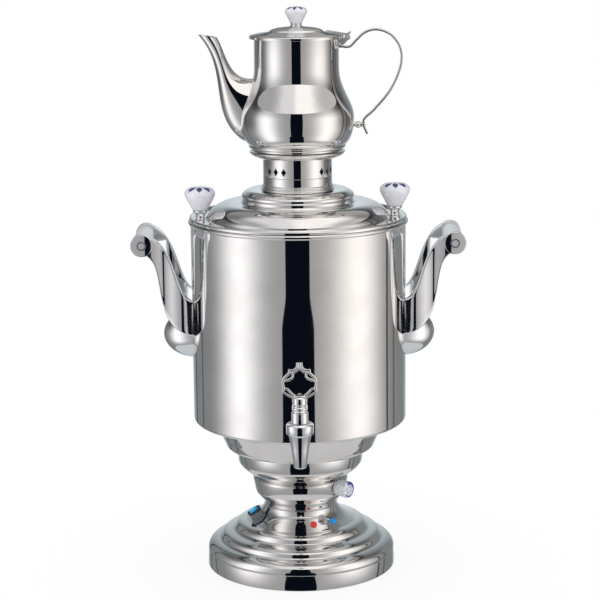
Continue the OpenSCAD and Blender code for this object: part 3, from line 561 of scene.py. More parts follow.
@dataclass(frozen=True)
class Glazed(Finish):
    """Glazed porcelain with painted petals round the top.

    Attributes:
        centre: The knob's middle on its axis, in metres.
        radius: The knob's radius in metres.
        petals: How many petals there are.
        turn: How far round the first petal is, in degrees.
        ink: The petals' colour.
    """

    centre: Triple = (0, 0, 0)
    radius: float = 0.019
    petals: int = 8
    turn: float = 0.0
    ink: Triple = (0.012, 0.018, 0.13)

    def surface(self, book: NodeBook) -> dict:
        """The shader's inputs."""
        x, y, z = book.parts(book.offset(self.centre))
        away = (x * x + y * y).root() / self.radius
        across = (y.arc_tangent(x) + math.radians(self.turn)) * (self.petals / 2)
        width = (away - 0.62).absolute().step(0.36, 0.0) * 0.62
        wobble = (book.noise(700) - 0.5) * 0.25
        stroke = (width + across.cosine().absolute() - 1 + wobble).step(-0.02, 0.10)
        above = z.step(-0.0015, 0.0005)
        ink = book.mix(book.noise(500).step(0.25, 0.8), self.ink, shaded(self.ink, 1.9))
        speck = book.noise(120, 3).step(0.45, 0.8)
        white = book.mix(speck, self.colour, shaded(self.colour, 0.96))
        return {
            "Base Color": book.mix(stroke * above, white, ink),
            "Roughness": 0.16 + speck * 0.04,
            "Coat Weight": 1.0,
            "Coat Roughness": 0.03,
            "Normal": book.bump(book.noise(160, 1), 0.08, 0.0005),
        }


@dataclass(frozen=True)
class DialPlastic(Finish):
    """Milky plastic with a painted arc on the end face, and painted shade in a ring round the face's middle
    so that the face looks sunk.

    Attributes:
        centre: The middle of the end face, in metres.
        out: The direction the face looks, level.
        radius: The face's radius in metres.
        ink: The arc's colour.
    """

    centre: Triple = (0, 0, 0)
    out: Triple = (0, -1, 0)
    radius: float = 0.0105
    ink: Triple = (0.02, 0.03, 0.36)

    def surface(self, book: NodeBook) -> dict:
        """The shader's inputs."""
        offset = book.offset(self.centre)
        axes = ((-self.out[1], self.out[0], 0.0), (0.0, 0.0, 1.0), self.out)
        u, v, w = (book.along(offset, axis) / self.radius for axis in axes)
        away = (u * u + v * v).root()
        band = ((away - 0.80).absolute() / (0.09 + v.step(-0.9, 0.7) * 0.13)).step(1.0, 0.65)
        half = (u + v * -0.25).step(-0.62, -0.45)
        face = w.step(-0.35, -0.15)
        # Painted shade: a darker ring round the middle of the face, so that the face looks sunk.
        painted_ring_shade = (away - 0.36).absolute().step(0.2, 0.05) * w.step(-0.2, 0.0) * 0.6
        shade = (book.noise(260).step(0.3, 0.7) * 0.6 + painted_ring_shade).least(1.0)
        milk = book.mix(shade, self.colour, shaded(self.colour, 0.62))
        return {
            "Base Color": book.mix(band * half * face, milk, self.ink),
            "Roughness": self.roughness,
            "Coat Weight": 1.0,
            "Coat Roughness": 0.04,
            "Subsurface Weight": 0.25,
            "Subsurface Scale": 0.004,
        }


STEEL = Polished("polished_sheet", (0.86, 0.85, 0.84), 0.035, unevenness=0.02)
CASTING = Polished("polished_casting", (0.90, 0.91, 0.93), 0.07, haze=0.05)
ZINC = Satin("dull_zinc", (0.60, 0.61, 0.62), 0.35)
BRUSHED = Satin("brushed_steel", (0.80, 0.80, 0.81), 0.34)
SCREW = Satin("sunk_screw", (0.26, 0.27, 0.29), 0.3)
BRASS = Satin("turned_brass", (0.72, 0.55, 0.27), 0.25)
ELEMENT = Satin("element_tube", (0.42, 0.42, 0.43), 0.35)
BLACK_RUBBER = Moulded("black_rubber", (0.025, 0.025, 0.027), 0.6, skin=0.3)
BLACK_PLASTIC = Moulded("black_plastic", (0.02, 0.02, 0.025), 0.4)
GREY_PLASTIC = Moulded("grey_plastic", (0.23, 0.25, 0.27), 0.35, coat=0.3)
PALE_PLASTIC = Moulded("pale_plastic", (0.74, 0.76, 0.77), 0.25, coat=0.6)


# Mesh work


class Around(Enum):
    """How a piece made about +Z is laid down: +Z goes to +X or to -Y."""

    SIDEWAYS = "Y"
    FORWARD = "X"

    @property
    def turn(self) -> Matrix:
        """The quarter turn that lays it down."""
        return Matrix.Rotation(math.pi / 2, 4, self.value)


def spot(x: float, y: float, z: float) -> Matrix:
    """A move to a place given in millimetres."""
    return Matrix.Translation((x * MM, y * MM, z * MM))


def frame_of(first: Vector, second: Vector) -> Matrix:
    """A turn that takes +X to one direction and +Y to another, square to it."""
    a, b = first.normalized(), second.normalized()
    return Matrix((a, b, a.cross(b))).transposed().to_4x4()


def turned(profile: Sequence[Point], steps: int = 160) -> Mesh:
    """Spins a closed profile about +Z.

    Args:
        profile: The closed outline in millimetres.
        steps: Faces round the axis.

    Returns:
        The solid.
    """
    bm = bmesh.new()
    verts = [bm.verts.new((r * MM, 0, z * MM)) for r, z in profile]
    edges = [bm.edges.new((verts[i - 1], verts[i])) for i in range(len(verts))]
    bmesh.ops.spin(
        bm, geom=verts + edges, cent=(0, 0, 0), axis=(0, 0, 1), angle=math.tau, steps=steps, use_merge=True
    )
    bmesh.ops.remove_doubles(bm, verts=bm.verts, dist=1e-7)
    bmesh.ops.dissolve_degenerate(bm, dist=1e-7, edges=bm.edges)
    bmesh.ops.recalc_face_normals(bm, faces=bm.faces)
    return bm


def shell(outline: Sequence[Point], wall: float, ease: float = 0.35, steps: int = 160) -> Mesh:
    """Spins a sheet-metal shell.

    Args:
        outline: Its outer face, running upwards.
        wall: The sheet's thickness.
        ease: How far its edges are rounded.
        steps: Faces round the axis.

    Returns:
        The shell.
    """
    inner = [(max(r, 0.0), z) for r, z in reversed(inset(outline, wall))]
    return turned(eased(list(outline) + inner, ease), steps)


def loft(rings: Iterable[tuple[Matrix, list[Point]]], closed: bool = False) -> Mesh:
    """Bridges a row of cross-sections, one after another.

    Args:
        rings: For each section its place and its outline in metres.
        closed: Whether the last section joins the first; otherwise both ends are filled.

    Returns:
        The closed skin.
    """
    bm = bmesh.new()
    loops = []
    for place, outline in rings:
        ring = bmesh.ops.create_circle(bm, cap_ends=False, segments=len(outline), radius=1.0)["verts"]
        for v, (x, y) in zip(ring, outline):
            v.co = place @ Vector((x, y, 0))
        loops.append(bm.edges[-len(outline):])
    pairs = list(zip(loops, loops[1:])) + ([(loops[-1], loops[0])] if closed else [])
    for a, b in pairs:
        bmesh.ops.bridge_loops(bm, edges=a + b)
    for end in () if closed else (loops[0], loops[-1]):
        bmesh.ops.holes_fill(bm, edges=end, sides=0)
    bmesh.ops.recalc_face_normals(bm, faces=bm.faces)
    return bm


def copied(node: str) -> Mesh:
    """Copies a CAD node's mesh and merges its doubles.

    Args:
        node: The node's name.

    Returns:
        The copy.
    """
    bm = bmesh.new()
    bm.from_mesh(frame["nodes"][node].data)
    bmesh.ops.remove_doubles(bm, verts=bm.verts, dist=2e-6)
    return bm


def moved(bm: Mesh, *matrices: Matrix) -> Mesh:
    """Moves a whole mesh.

    Args:
        bm: The mesh.
        matrices: Its moves, one after another.

    Returns:
        The same mesh.
    """
    for matrix in matrices:
        bmesh.ops.transform(bm, matrix=matrix, verts=bm.verts)
        if matrix.determinant() < 0:
            bmesh.ops.reverse_faces(bm, faces=bm.faces)
    return bm


def as_data(bm: Mesh, name: str) -> bpy.types.Mesh:
    """Turns a bmesh into mesh data.

    Args:
        bm: The bmesh, which is freed.
        name: The data's name.

    Returns:
        The mesh data.
    """
    data = bpy.data.meshes.new(name)
    bm.to_mesh(data)
    bm.free()
    return data


def linked(data: bpy.types.Mesh | bpy.types.Camera, name: str) -> bpy.types.Object:
    """Adds an object to the scene.

    Args:
        data: What it shows.
        name: Its name.

    Returns:
        The object.
    """
    made = bpy.data.objects.new(name, data)
    bpy.context.scene.collection.objects.link(made)
    return made


def joined(*meshes: Mesh) -> Mesh:
    """Puts several meshes into one.

    Args:
        meshes: The meshes, which are freed.

    Returns:
        The mesh that holds them all.
    """
    whole = bmesh.new()
    for bm in meshes:
        loose = as_data(bm, "loose")
        whole.from_mesh(loose)
        bpy.data.meshes.remove(loose)
    return whole


def pierced(bm: Mesh, cutters: Mesh) -> Mesh:
    """Cuts one mesh out of another.

    Args:
        bm: The mesh that is cut, which is freed.
        cutters: The closed shapes cut out of it, which are freed.

    Returns:
        What is left.
    """
    blank, tool = linked(as_data(bm, "blank"), "blank"), linked(as_data(cutters, "cutters"), "cutters")
    cut = blank.modifiers.new("cut", "BOOLEAN")
    cut.operation = "DIFFERENCE"
    cut.object = tool
    cut.solver = "EXACT"
    result = bmesh.new()
    result.from_mesh(blank.evaluated_get(bpy.context.evaluated_depsgraph_get()).data)
    for used in (blank, tool):
        bpy.data.objects.remove(used)
    return result


# Sub-assemblies


@dataclass(frozen=True)
class Sizes:
    """The samovar's driving dimensions in millimetres, and the heights of its seams."""

    sheet: float = 1.0
    hole_r: float = 32.0
    base_r: float = 119.0
    waist_r: float = 46.2
    ring_r: float = 60.0
    low_r: float = 79.0
    up_r: float = 108.0
    tank_r: float = 133.5
    tank_wall: float = 1.2
    rim_bead_r: float = 2.75
    lid_r: float = 134.4
    cap_r: float = 69.5
    collar_r: float = 42.6
    collar_h: float = 21.5
    pan_r: float = 58.8
    pan_h: float = 8.3
    belly_r: float = 70.0
    neck_r: float = 51.8
    pot_h: float = 137.2
    pot_lid_r: float = 57.6
    pot_lid_h: float = 14.4
    z_skirt: float = 1.0
    z_band: float = 20.0
    z_bell: float = 79.0
    z_ring: float = 116.0
    z_low: float = 153.0
    z_tank: float = 191.0
    z_mouth: float = 446.0
    z_cap: float = 481.0
    z_neck: float = 499.0
    gap: float = 0.3

    @property
    def z_crown(self) -> float:
        """Foot of the crown's collar."""
        return self.z_neck + self.gap

    @property
    def z_pan(self) -> float:
        """Foot of the crown's pan."""
        return self.z_crown + self.collar_h

    @property
    def z_pot(self) -> float:
        """Foot of the teapot."""
        return self.z_pan + self.pan_h + self.gap

    @property
    def z_pot_top(self) -> float:
        """Top edge of the teapot."""
        return self.z_pot + self.pot_h

    @property
    def z_lid(self) -> float:
        """Foot of the teapot's lid."""
        return self.z_pot_top + self.gap

    @property
    def z_ferrule(self) -> float:
        """Foot of the ferrule under the teapot's knob."""
        return self.z_lid + self.pot_lid_h


@dataclass
class SubAssembly:
    """Pieces that belong together.

    Attributes:
        sizes: The samovar's dimensions.
        body: The body that the pieces ride on.
    """

    sizes: Sizes = Sizes()
    body: str = "tank"

    def put(
        self, bm: Mesh, name: str, finish: Finish, slot: str, nodes: Sequence[str] = (), body: str = "",
        crease: float = 35.0,
    ) -> bpy.types.Object:
        """Makes the object, dresses it, hangs it on its body and hides the CAD nodes it stands for.

        Args:
            bm: The mesh, which is freed.
            name: The piece's name.
            finish: Its finish.
            slot: The record's material slot; not used.
            nodes: CAD nodes it stands for.
            body: The body it rides on, if not the sub-assembly's own.
            crease: Edges sharper than this, in degrees, stay sharp.

        Returns:
            The object.
        """
        mesh = as_data(bm, name)
        mesh.shade_smooth()
        mesh.set_sharp_from_angle(angle=math.radians(crease))
        mesh.materials.append(finish.material())
        piece = linked(mesh, name)
        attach(piece, body or self.body)
        if nodes:
            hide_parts(*nodes)
        LOG.info("%s: %d faces on %s", name, len(mesh.polygons), body or self.body)
        return piece

    def polished(self, bm: Mesh, name: str, node: str, crease: float = 35.0) -> None:
        """Makes a piece of polished sheet that stands for one CAD node."""
        self.put(bm, name, STEEL, "polished_steel", [node], crease=crease)

    def cast(self, bm: Mesh, name: str, node: str, body: str = "", crease: float = 35.0) -> bpy.types.Object:
        """Makes a polished casting that stands for one CAD node."""
        return self.put(bm, name, CASTING, "cast_metal", [node], body, crease)

    def sheet(self, outline: Sequence[Point], name: str, node: str, steps: int = 160) -> None:
        """Makes a polished shell.

        Args:
            outline: Its outer face, running upwards.
            name: The piece's name.
            node: The CAD node it stands for.
            steps: Faces round the axis.
        """
        self.polished(shell(outline, self.sizes.sheet, steps=steps), name, node)

    def porcelain(
        self, name: str, glaze: str, seat: Triple, r: float, h: float, seat_r: float, turn: float,
        nodes: Sequence[str],
    ) -> None:
        """Makes a glazed knob.

        Args:
            name: The piece's name.
            glaze: Its material's name.
            seat: Where the middle of its seat is.
            r: Its radius.
            h: Its height.
            seat_r: The radius of its seat.
            turn: How far round the first petal is, in degrees.
            nodes: CAD nodes it stands for.
        """
        outline = (
            [(0, 0), (seat_r, 0)]
            + curve((seat_r + 0.06 * r, 0.03 * h), (0.72 * r, 0.3 * h), (0.94 * r, 0.52 * h),
                    (0.985 * r, 0.64 * h), 16)
            + curve((r, 0.7 * h), (1.01 * r, 0.8 * h), (0.84 * r, 0.93 * h), (0.5 * r, 0.97 * h), 16)
            + [(0.25 * r, 0.993 * h), (0, h)]
        )
        x, y, z = seat
        middle = (x * MM, y * MM, (z + 0.72 * h) * MM)
        finish = Glazed(glaze, (0.86, 0.86, 0.93), centre=middle, radius=r * MM, turn=turn)
        self.put(moved(turned(outline, 64), spot(*seat)), name, finish, "porcelain_white", nodes)


class Pedestal(SubAssembly):
    """The base with its bell, and the shells that carry the tank."""

    def band(self) -> None:
        """The plain band at the foot."""
        s = self.sizes
        r, top = s.base_r, s.z_band
        outline = [(r, s.z_skirt), (r - 0.8, top), (r - 12, top), (r - 12, top - 1), (r - 1.8, top - 1),
                   (r - 1, s.z_skirt)]
        self.polished(turned(eased(outline, 0.5), 192), "foot_band", "base_band")

    def bell(self) -> None:
        """The bell with its two rolled beads."""
        s = self.sizes
        beads = [(118.2, 20), (118.3, 23.5), (116.6, 27.6), (113, 31.2), (108.2, 33.6), (103.6, 35.2),
                 (101.2, 37.4), (99.6, 41), (96.4, 43.8), (91.5, 45.6), (87, 47), (84, 49), (82.2, 52.2),
                 (79.6, 55.4), (75.5, 57.6), (70, 59.4)]
        top = s.z_bell
        flare = curve((69, 59.8), (s.base_r - 56, 62.6), (s.waist_r + 2, top - 11), (s.waist_r, top))
        self.sheet(through(beads, 5) + flare + [(s.hole_r, top)], "bell", "base_bell", 192)

    def ring(self) -> None:
        """The ring that carries the thermostat."""
        s = self.sizes
        r, z, top = s.ring_r, s.z_bell, s.z_ring
        outline = (
            [(s.hole_r, z)]
            + curve((s.waist_r, z), (s.waist_r + 0.2, z + 9), (r - 5, z + 11), (r - 2.6, z + 19))
            + [(r, top - 3.2)]
            + arc((r - 2.4, top - 2.4), 2.4, 0, 80, 6)
            + [(r - 3.6, top), (s.hole_r, top)]
        )
        self.sheet(outline, "stat_ring", "thermostat_ring")

    def bowls(self) -> None:
        """The two bowls under the tank."""
        s = self.sizes
        r, z, top = s.low_r, s.z_ring, s.z_low
        low = (
            [(s.hole_r, z)]
            + curve((s.ring_r - 3.6, z), (s.ring_r + 2, z + 6.5), (r - 4, z + 10), (r - 0.4, z + 21))
            + [(r, top - 3)]
            + arc((r - 2, top - 2), 2, 0, 80, 6)
            + [(r - 3, top), (s.hole_r, top)]
        )
        self.sheet(low, "bowl_low", "lower_bowl")
        z, top = s.z_low, s.z_tank
        up = (
            [(s.hole_r, z), (r - 3, z)]
            + curve((r, z + 0.2), (r + 9, z + 0.4), (r + 14.5, z + 1.5), (r + 15.5, z + 7.5))
            + curve((r + 19, z + 15), (r + 21, z + 20), (s.up_r - 6, top - 12), (s.up_r, top - 1))
            + [(s.up_r, top)]
        )
        self.sheet(up, "bowl_up", "upper_bowl", 192)

    def build(self) -> None:
        """Builds the pedestal."""
        self.band()
        self.bell()
        self.ring()
        self.bowls()


class Tank(SubAssembly):
    """The cylindrical tank with its rolled rim."""

    def build(self) -> None:
        """Builds the tank."""
        s = self.sizes
        r, foot, mouth, bead, wall = s.tank_r, s.z_tank, s.z_mouth, s.rim_bead_r, s.tank_wall
        outline = (
            [(0, foot)]
            + arc((r - 4, foot + 4), 4, -90, 0, 8)
            + [(r, mouth - 2 * bead)]
            + arc((r, mouth - bead), bead, -75, 90, 14)
            + [(r - wall, mouth - 0.4), (r - wall, foot + wall), (0, foot + wall)]
        )
        self.put(turned(eased(outline, 0.3), 224), "tank_wall", STEEL, "tank_steel", ["tank_shell"])


@dataclass
class Lid(SubAssembly):
    """The stepped lid with its neck ring and two porcelain knobs."""

    body: str = "lid"
    knob_r: float = 19.0
    knob_h: float = 29.0
    knob_seat: float = 8.8
    stem_h: float = 12.0
    stem_in: float = 13.4
    turn: float = 5.0

    def dome(self) -> None:
        """The lid's pressed sheet, drawn from the middle outwards."""
        s = self.sizes
        collar, cap, rim, top, mouth = s.collar_r, s.cap_r, s.lid_r, s.z_cap, s.z_mouth
        foot_in, foot_out, foot_z = rim - 19.6, rim - 7.2, mouth + 0.5
        outline = (
            [(collar - 7, top), (collar + 2.2, top)]
            + curve((collar + 4, top), (collar + 12, top + 2.4), (cap - 7, top + 2.2),
                    (cap - 2.6, top - 2.4), 14)
            + arc((cap - 4.6, top - 6.4), 4.8, 62, -40)
            + [(cap - 0.6, top - 12.6), (cap + 1, top - 15)]
            + curve((cap + 4, top - 15), (cap + 18, top - 12.5), (foot_in - 10, top - 17),
                    (foot_in - 3.4, mouth + 5.5), 24)
            + curve((foot_in - 2.6, mouth + 3.6), (foot_in - 2, mouth + 1.5), (foot_in - 1, foot_z),
                    (foot_in, foot_z), 6)
            + [(foot_out, foot_z)]
            + curve((rim - 6.6, mouth + 0.8), (rim - 6, mouth + 2), (rim - 5, mouth + 4),
                    (rim - 3, mouth + 4.2), 6)
            + arc((rim - 1.8, mouth + 2.4), 1.8, 90, 0, 8)
            + [(rim, mouth + s.gap)]
        )
        self.sheet(outline[::-1], "lid_sheet", "lid_shell", 224)

    def neck(self) -> None:
        """The neck ring that the crown stands on."""
        s = self.sizes
        r, z = s.collar_r, s.z_cap
        outline = (
            [(r - 3, z), (r + 0.6, z)]
            + arc((r + 0.9, z + 2.3), 2, -90, 80, 10)
            + arc((r + 0.1, z + 6.2), 1.5, -60, 60, 8)
            + [(r, z + 8), (r, s.z_neck)]
        )
        self.sheet(outline, "neck_sheet", "neck_ring")

    def knobs(self) -> None:
        """The porcelain knobs on their turned stems."""
        s, h = self.sizes, self.stem_h
        stem = (
            [(0, 0), (6, 0), (6, 1)]
            + curve((5.8, 1.4), (5, 2.4), (5.2, h - 6), (7, h - 4), 10)
            + [(9, h - 2.6), (9, h - 0.6), (8, h), (0, h)]
        )
        r, z = s.lid_r - self.stem_in, s.z_mouth + 0.5
        turns = [math.radians(self.turn + half) for half in (0, 180)]
        feet = [(r * math.cos(turn), r * math.sin(turn), z) for turn in turns]
        stems = [moved(turned(eased(stem, 0.5), 48), spot(*foot)) for foot in feet]
        self.put(joined(*stems), "knob_stems", CASTING, "polished_steel", ["lid_knob_stems"])
        for side, (x, y, _), nodes in zip(("right", "left"), feet, (["lid_knobs"], [])):
            self.porcelain(f"lid_knob_{side}", f"porcelain_{side}", (x, y, z + h), self.knob_r, self.knob_h,
                           self.knob_seat, 0, nodes)

    def build(self) -> None:
        """Builds the lid."""
        self.dome()
        self.neck()
        self.knobs()


@dataclass
class SideHandles(SubAssembly):
    """On each side two cast arms, a domed boss between their feet, and a grip between their eyes.

    Attributes:
        reach: From the tank's wall to the eye's middle.
        rise: From the arm's foot to the eye's middle.
        foot_z: Height of the arm's foot.
        span: Width over both arms.
        lean: How far an arm's foot stands inwards of its eye.
        thick: An arm's thickness.
        edge: How far an arm's edges are rounded.
        bends: The arm in plan: share of its length from the eye, share of the lean.
        past: How far the bends run on inside the wall.
        bite: How far a foot sinks into the wall.
    """

    reach: float = 58.0
    rise: float = 115.0
    foot_z: float = 305.0
    span: float = 96.0
    lean: float = 8.6
    thick: float = 10.2
    edge: float = 2.2
    bends: tuple[Point, ...] = (
        (0, 0), (0.043, 0.006), (0.086, 0.029), (0.129, 0.089), (0.171, 0.173), (0.214, 0.275),
        (0.257, 0.4), (0.3, 0.541), (0.343, 0.68), (0.371, 0.747), (0.4, 0.752), (0.443, 0.694),
        (0.486, 0.617), (0.543, 0.496), (0.6, 0.398), (0.657, 0.342), (0.7, 0.352), (0.743, 0.44),
        (0.786, 0.59), (0.829, 0.75), (0.871, 0.87), (0.914, 0.945), (0.957, 0.985), (1, 1),
    )
    past: float = 12.0
    bite: float = 0.5
    eye_r: float = 13.7
    grip_r: float = 12.2
    boss_r: float = 30.5
    boss_out: float = 36.0
    boss_drop: float = 3.8

    def at(self, u: float, v: float) -> Point:
        """A place on the arm's side view: share of the reach, share of the rise."""
        return (self.sizes.tank_r + u * self.reach, self.foot_z + v * self.rise)

    def to_eye(self, y: float) -> Matrix:
        """A move to the eye's axis."""
        x, z = self.at(1, 1)
        return spot(x, y, z)

    def bent(self, bm: Mesh) -> Mesh:
        """Bends the right-hand rear arm in plan: in from the eye, out again at the blade, and in to the foot.

        Args:
            bm: The straight arm, which lies along the span's rear side.

        Returns:
            The same mesh.
        """
        line = through(self.bends, 4)
        for v in bm.verts:
            u = (self.at(1, 1)[0] - v.co.x / MM) / (self.reach + self.past)
            share = 0.0 if u <= 0 else 1.0
            for (u0, s0), (u1, s1) in zip(line, line[1:]):
                if u0 <= u <= u1:
                    share = s0 + (s1 - s0) * (u - u0) / max(u1 - u0, TINY)
                    break
            v.co.y -= share * self.lean * MM
        return bm

    def on_wall(self, bm: Mesh) -> Mesh:
        """Presses what reaches into the tank flat onto its wall.

        Args:
            bm: A piece on the right-hand side.

        Returns:
            The same mesh.
        """
        r = (self.sizes.tank_r - self.bite) * MM
        for v in bm.verts:
            v.co.x = max(v.co.x, math.sqrt(max(r * r - v.co.y**2, 0)))
        return bm

    def arm(self) -> Mesh:
        """Makes the right-hand rear arm with its eye.

        Returns:
            The arm.
        """
        at, n = self.at, 16
        low = curve(at(0.93, 0.893), at(0.645, 0.835), at(0.685, 0.575), at(0.565, 0.315), n)
        low += curve(at(0.565, 0.315), at(0.46, 0.107), at(0.2, 0.02), at(-0.14, -0.01), n)[1:]
        up = curve(at(0.93, 1.10), at(0.56, 1.078), at(0.422, 0.853), at(0.302, 0.671), n)
        up += curve(at(0.302, 0.671), at(0.181, 0.489), at(0.129, 0.393), at(-0.16, 0.372), n)[1:]
        half, y = self.thick / 2, (self.span - self.thick) / 2
        rings = []
        for a, b in zip(low, up):
            across = Vector(b) - Vector(a)
            turn = frame_of(Vector((0, 1, 0)), Vector((across.x, 0, across.y)))
            place = spot((a[0] + b[0]) / 2, y, (a[1] + b[1]) / 2) @ turn
            rings.append((place, rounded_box(half - 0.1, across.length / 2, self.edge, side=14)))
        r = self.eye_r
        steps = [r * k / 8 for k in range(8)]
        disc = [(t, -half) for t in steps] + [(r, -half), (r, half)] + [(t, half) for t in reversed(steps)]
        eye = moved(turned(eased(disc, self.edge, 5), 96), Around.FORWARD.turn, self.to_eye(y))
        return self.on_wall(self.bent(joined(loft(rings), eye)))

    def boss(self) -> Mesh:
        """Makes the right-hand domed boss.

        Returns:
            The boss.
        """
        r, root, foot = self.boss_r, -10, -4
        turns = [math.radians(4 * i) for i in range(23)]
        dome = [(r * math.cos(a), foot + (self.boss_out - foot) * math.sin(a)) for a in turns]
        bm = turned([(0, root), (r, root), (r, -7)] + dome + [(0, self.boss_out)], 96)
        move = spot(self.sizes.tank_r, 0, self.foot_z - self.boss_drop)
        return self.on_wall(moved(bm, Around.SIDEWAYS.turn, move))

    def grip(self) -> Mesh:
        """Makes the right-hand grip.

        Returns:
            The grip.
        """
        half, r = self.span / 2 - self.thick, self.grip_r
        bm = turned(eased([(0, -half), (r, -half), (r, half), (0, half)], 0.8), 64)
        return moved(bm, Around.FORWARD.turn, self.to_eye(0))

    def screws(self) -> Mesh:
        """Makes the right-hand grip's two screws, sunk in the eyes with a raised ring round each.

        Returns:
            The screws.
        """
        ring = [(3.2, -2), (5.9, -2), (5.9, 0.3), (5.3, 0.9), (4.6, 0.9), (4.0, 0.2), (3.6, -0.8), (3.2, -1)]
        head = [(0, -4), (3.3, -4), (3.3, -0.9), (2.9, -0.3), (1.6, -0.2), (1.4, -0.8), (0, -1.2)]
        pieces = []
        for s in (-1, 1):
            turn = Matrix.Rotation(-s * math.pi / 2, 4, "X")
            for outline in (ring, head):
                pieces.append(moved(turned(eased(outline, 0.25), 48), turn, self.to_eye(s * self.span / 2)))
        return joined(*pieces)

    def build(self) -> None:
        """Builds both side handles."""
        for side, flip in (("left", -1), ("right", 1)):
            turn = Matrix.Diagonal((flip, 1, 1, 1))
            arms = joined(moved(self.arm(), Matrix.Diagonal((1, -1, 1, 1))), self.arm())
            self.cast(moved(arms, turn), f"cast_arms_{side}", f"arms_{side}")
            self.put(moved(self.boss(), turn), f"dome_{side}", CASTING, "polished_steel", [f"boss_{side}"])
            self.put(moved(self.grip(), turn), f"hand_grip_{side}", PALE_PLASTIC, "white_plastic",
                     [f"grip_{side}"])
            nodes = ["grip_screws"] if flip == 1 else []
            self.put(moved(self.screws(), turn), f"eye_screws_{side}", SCREW, "plated_steel", nodes)


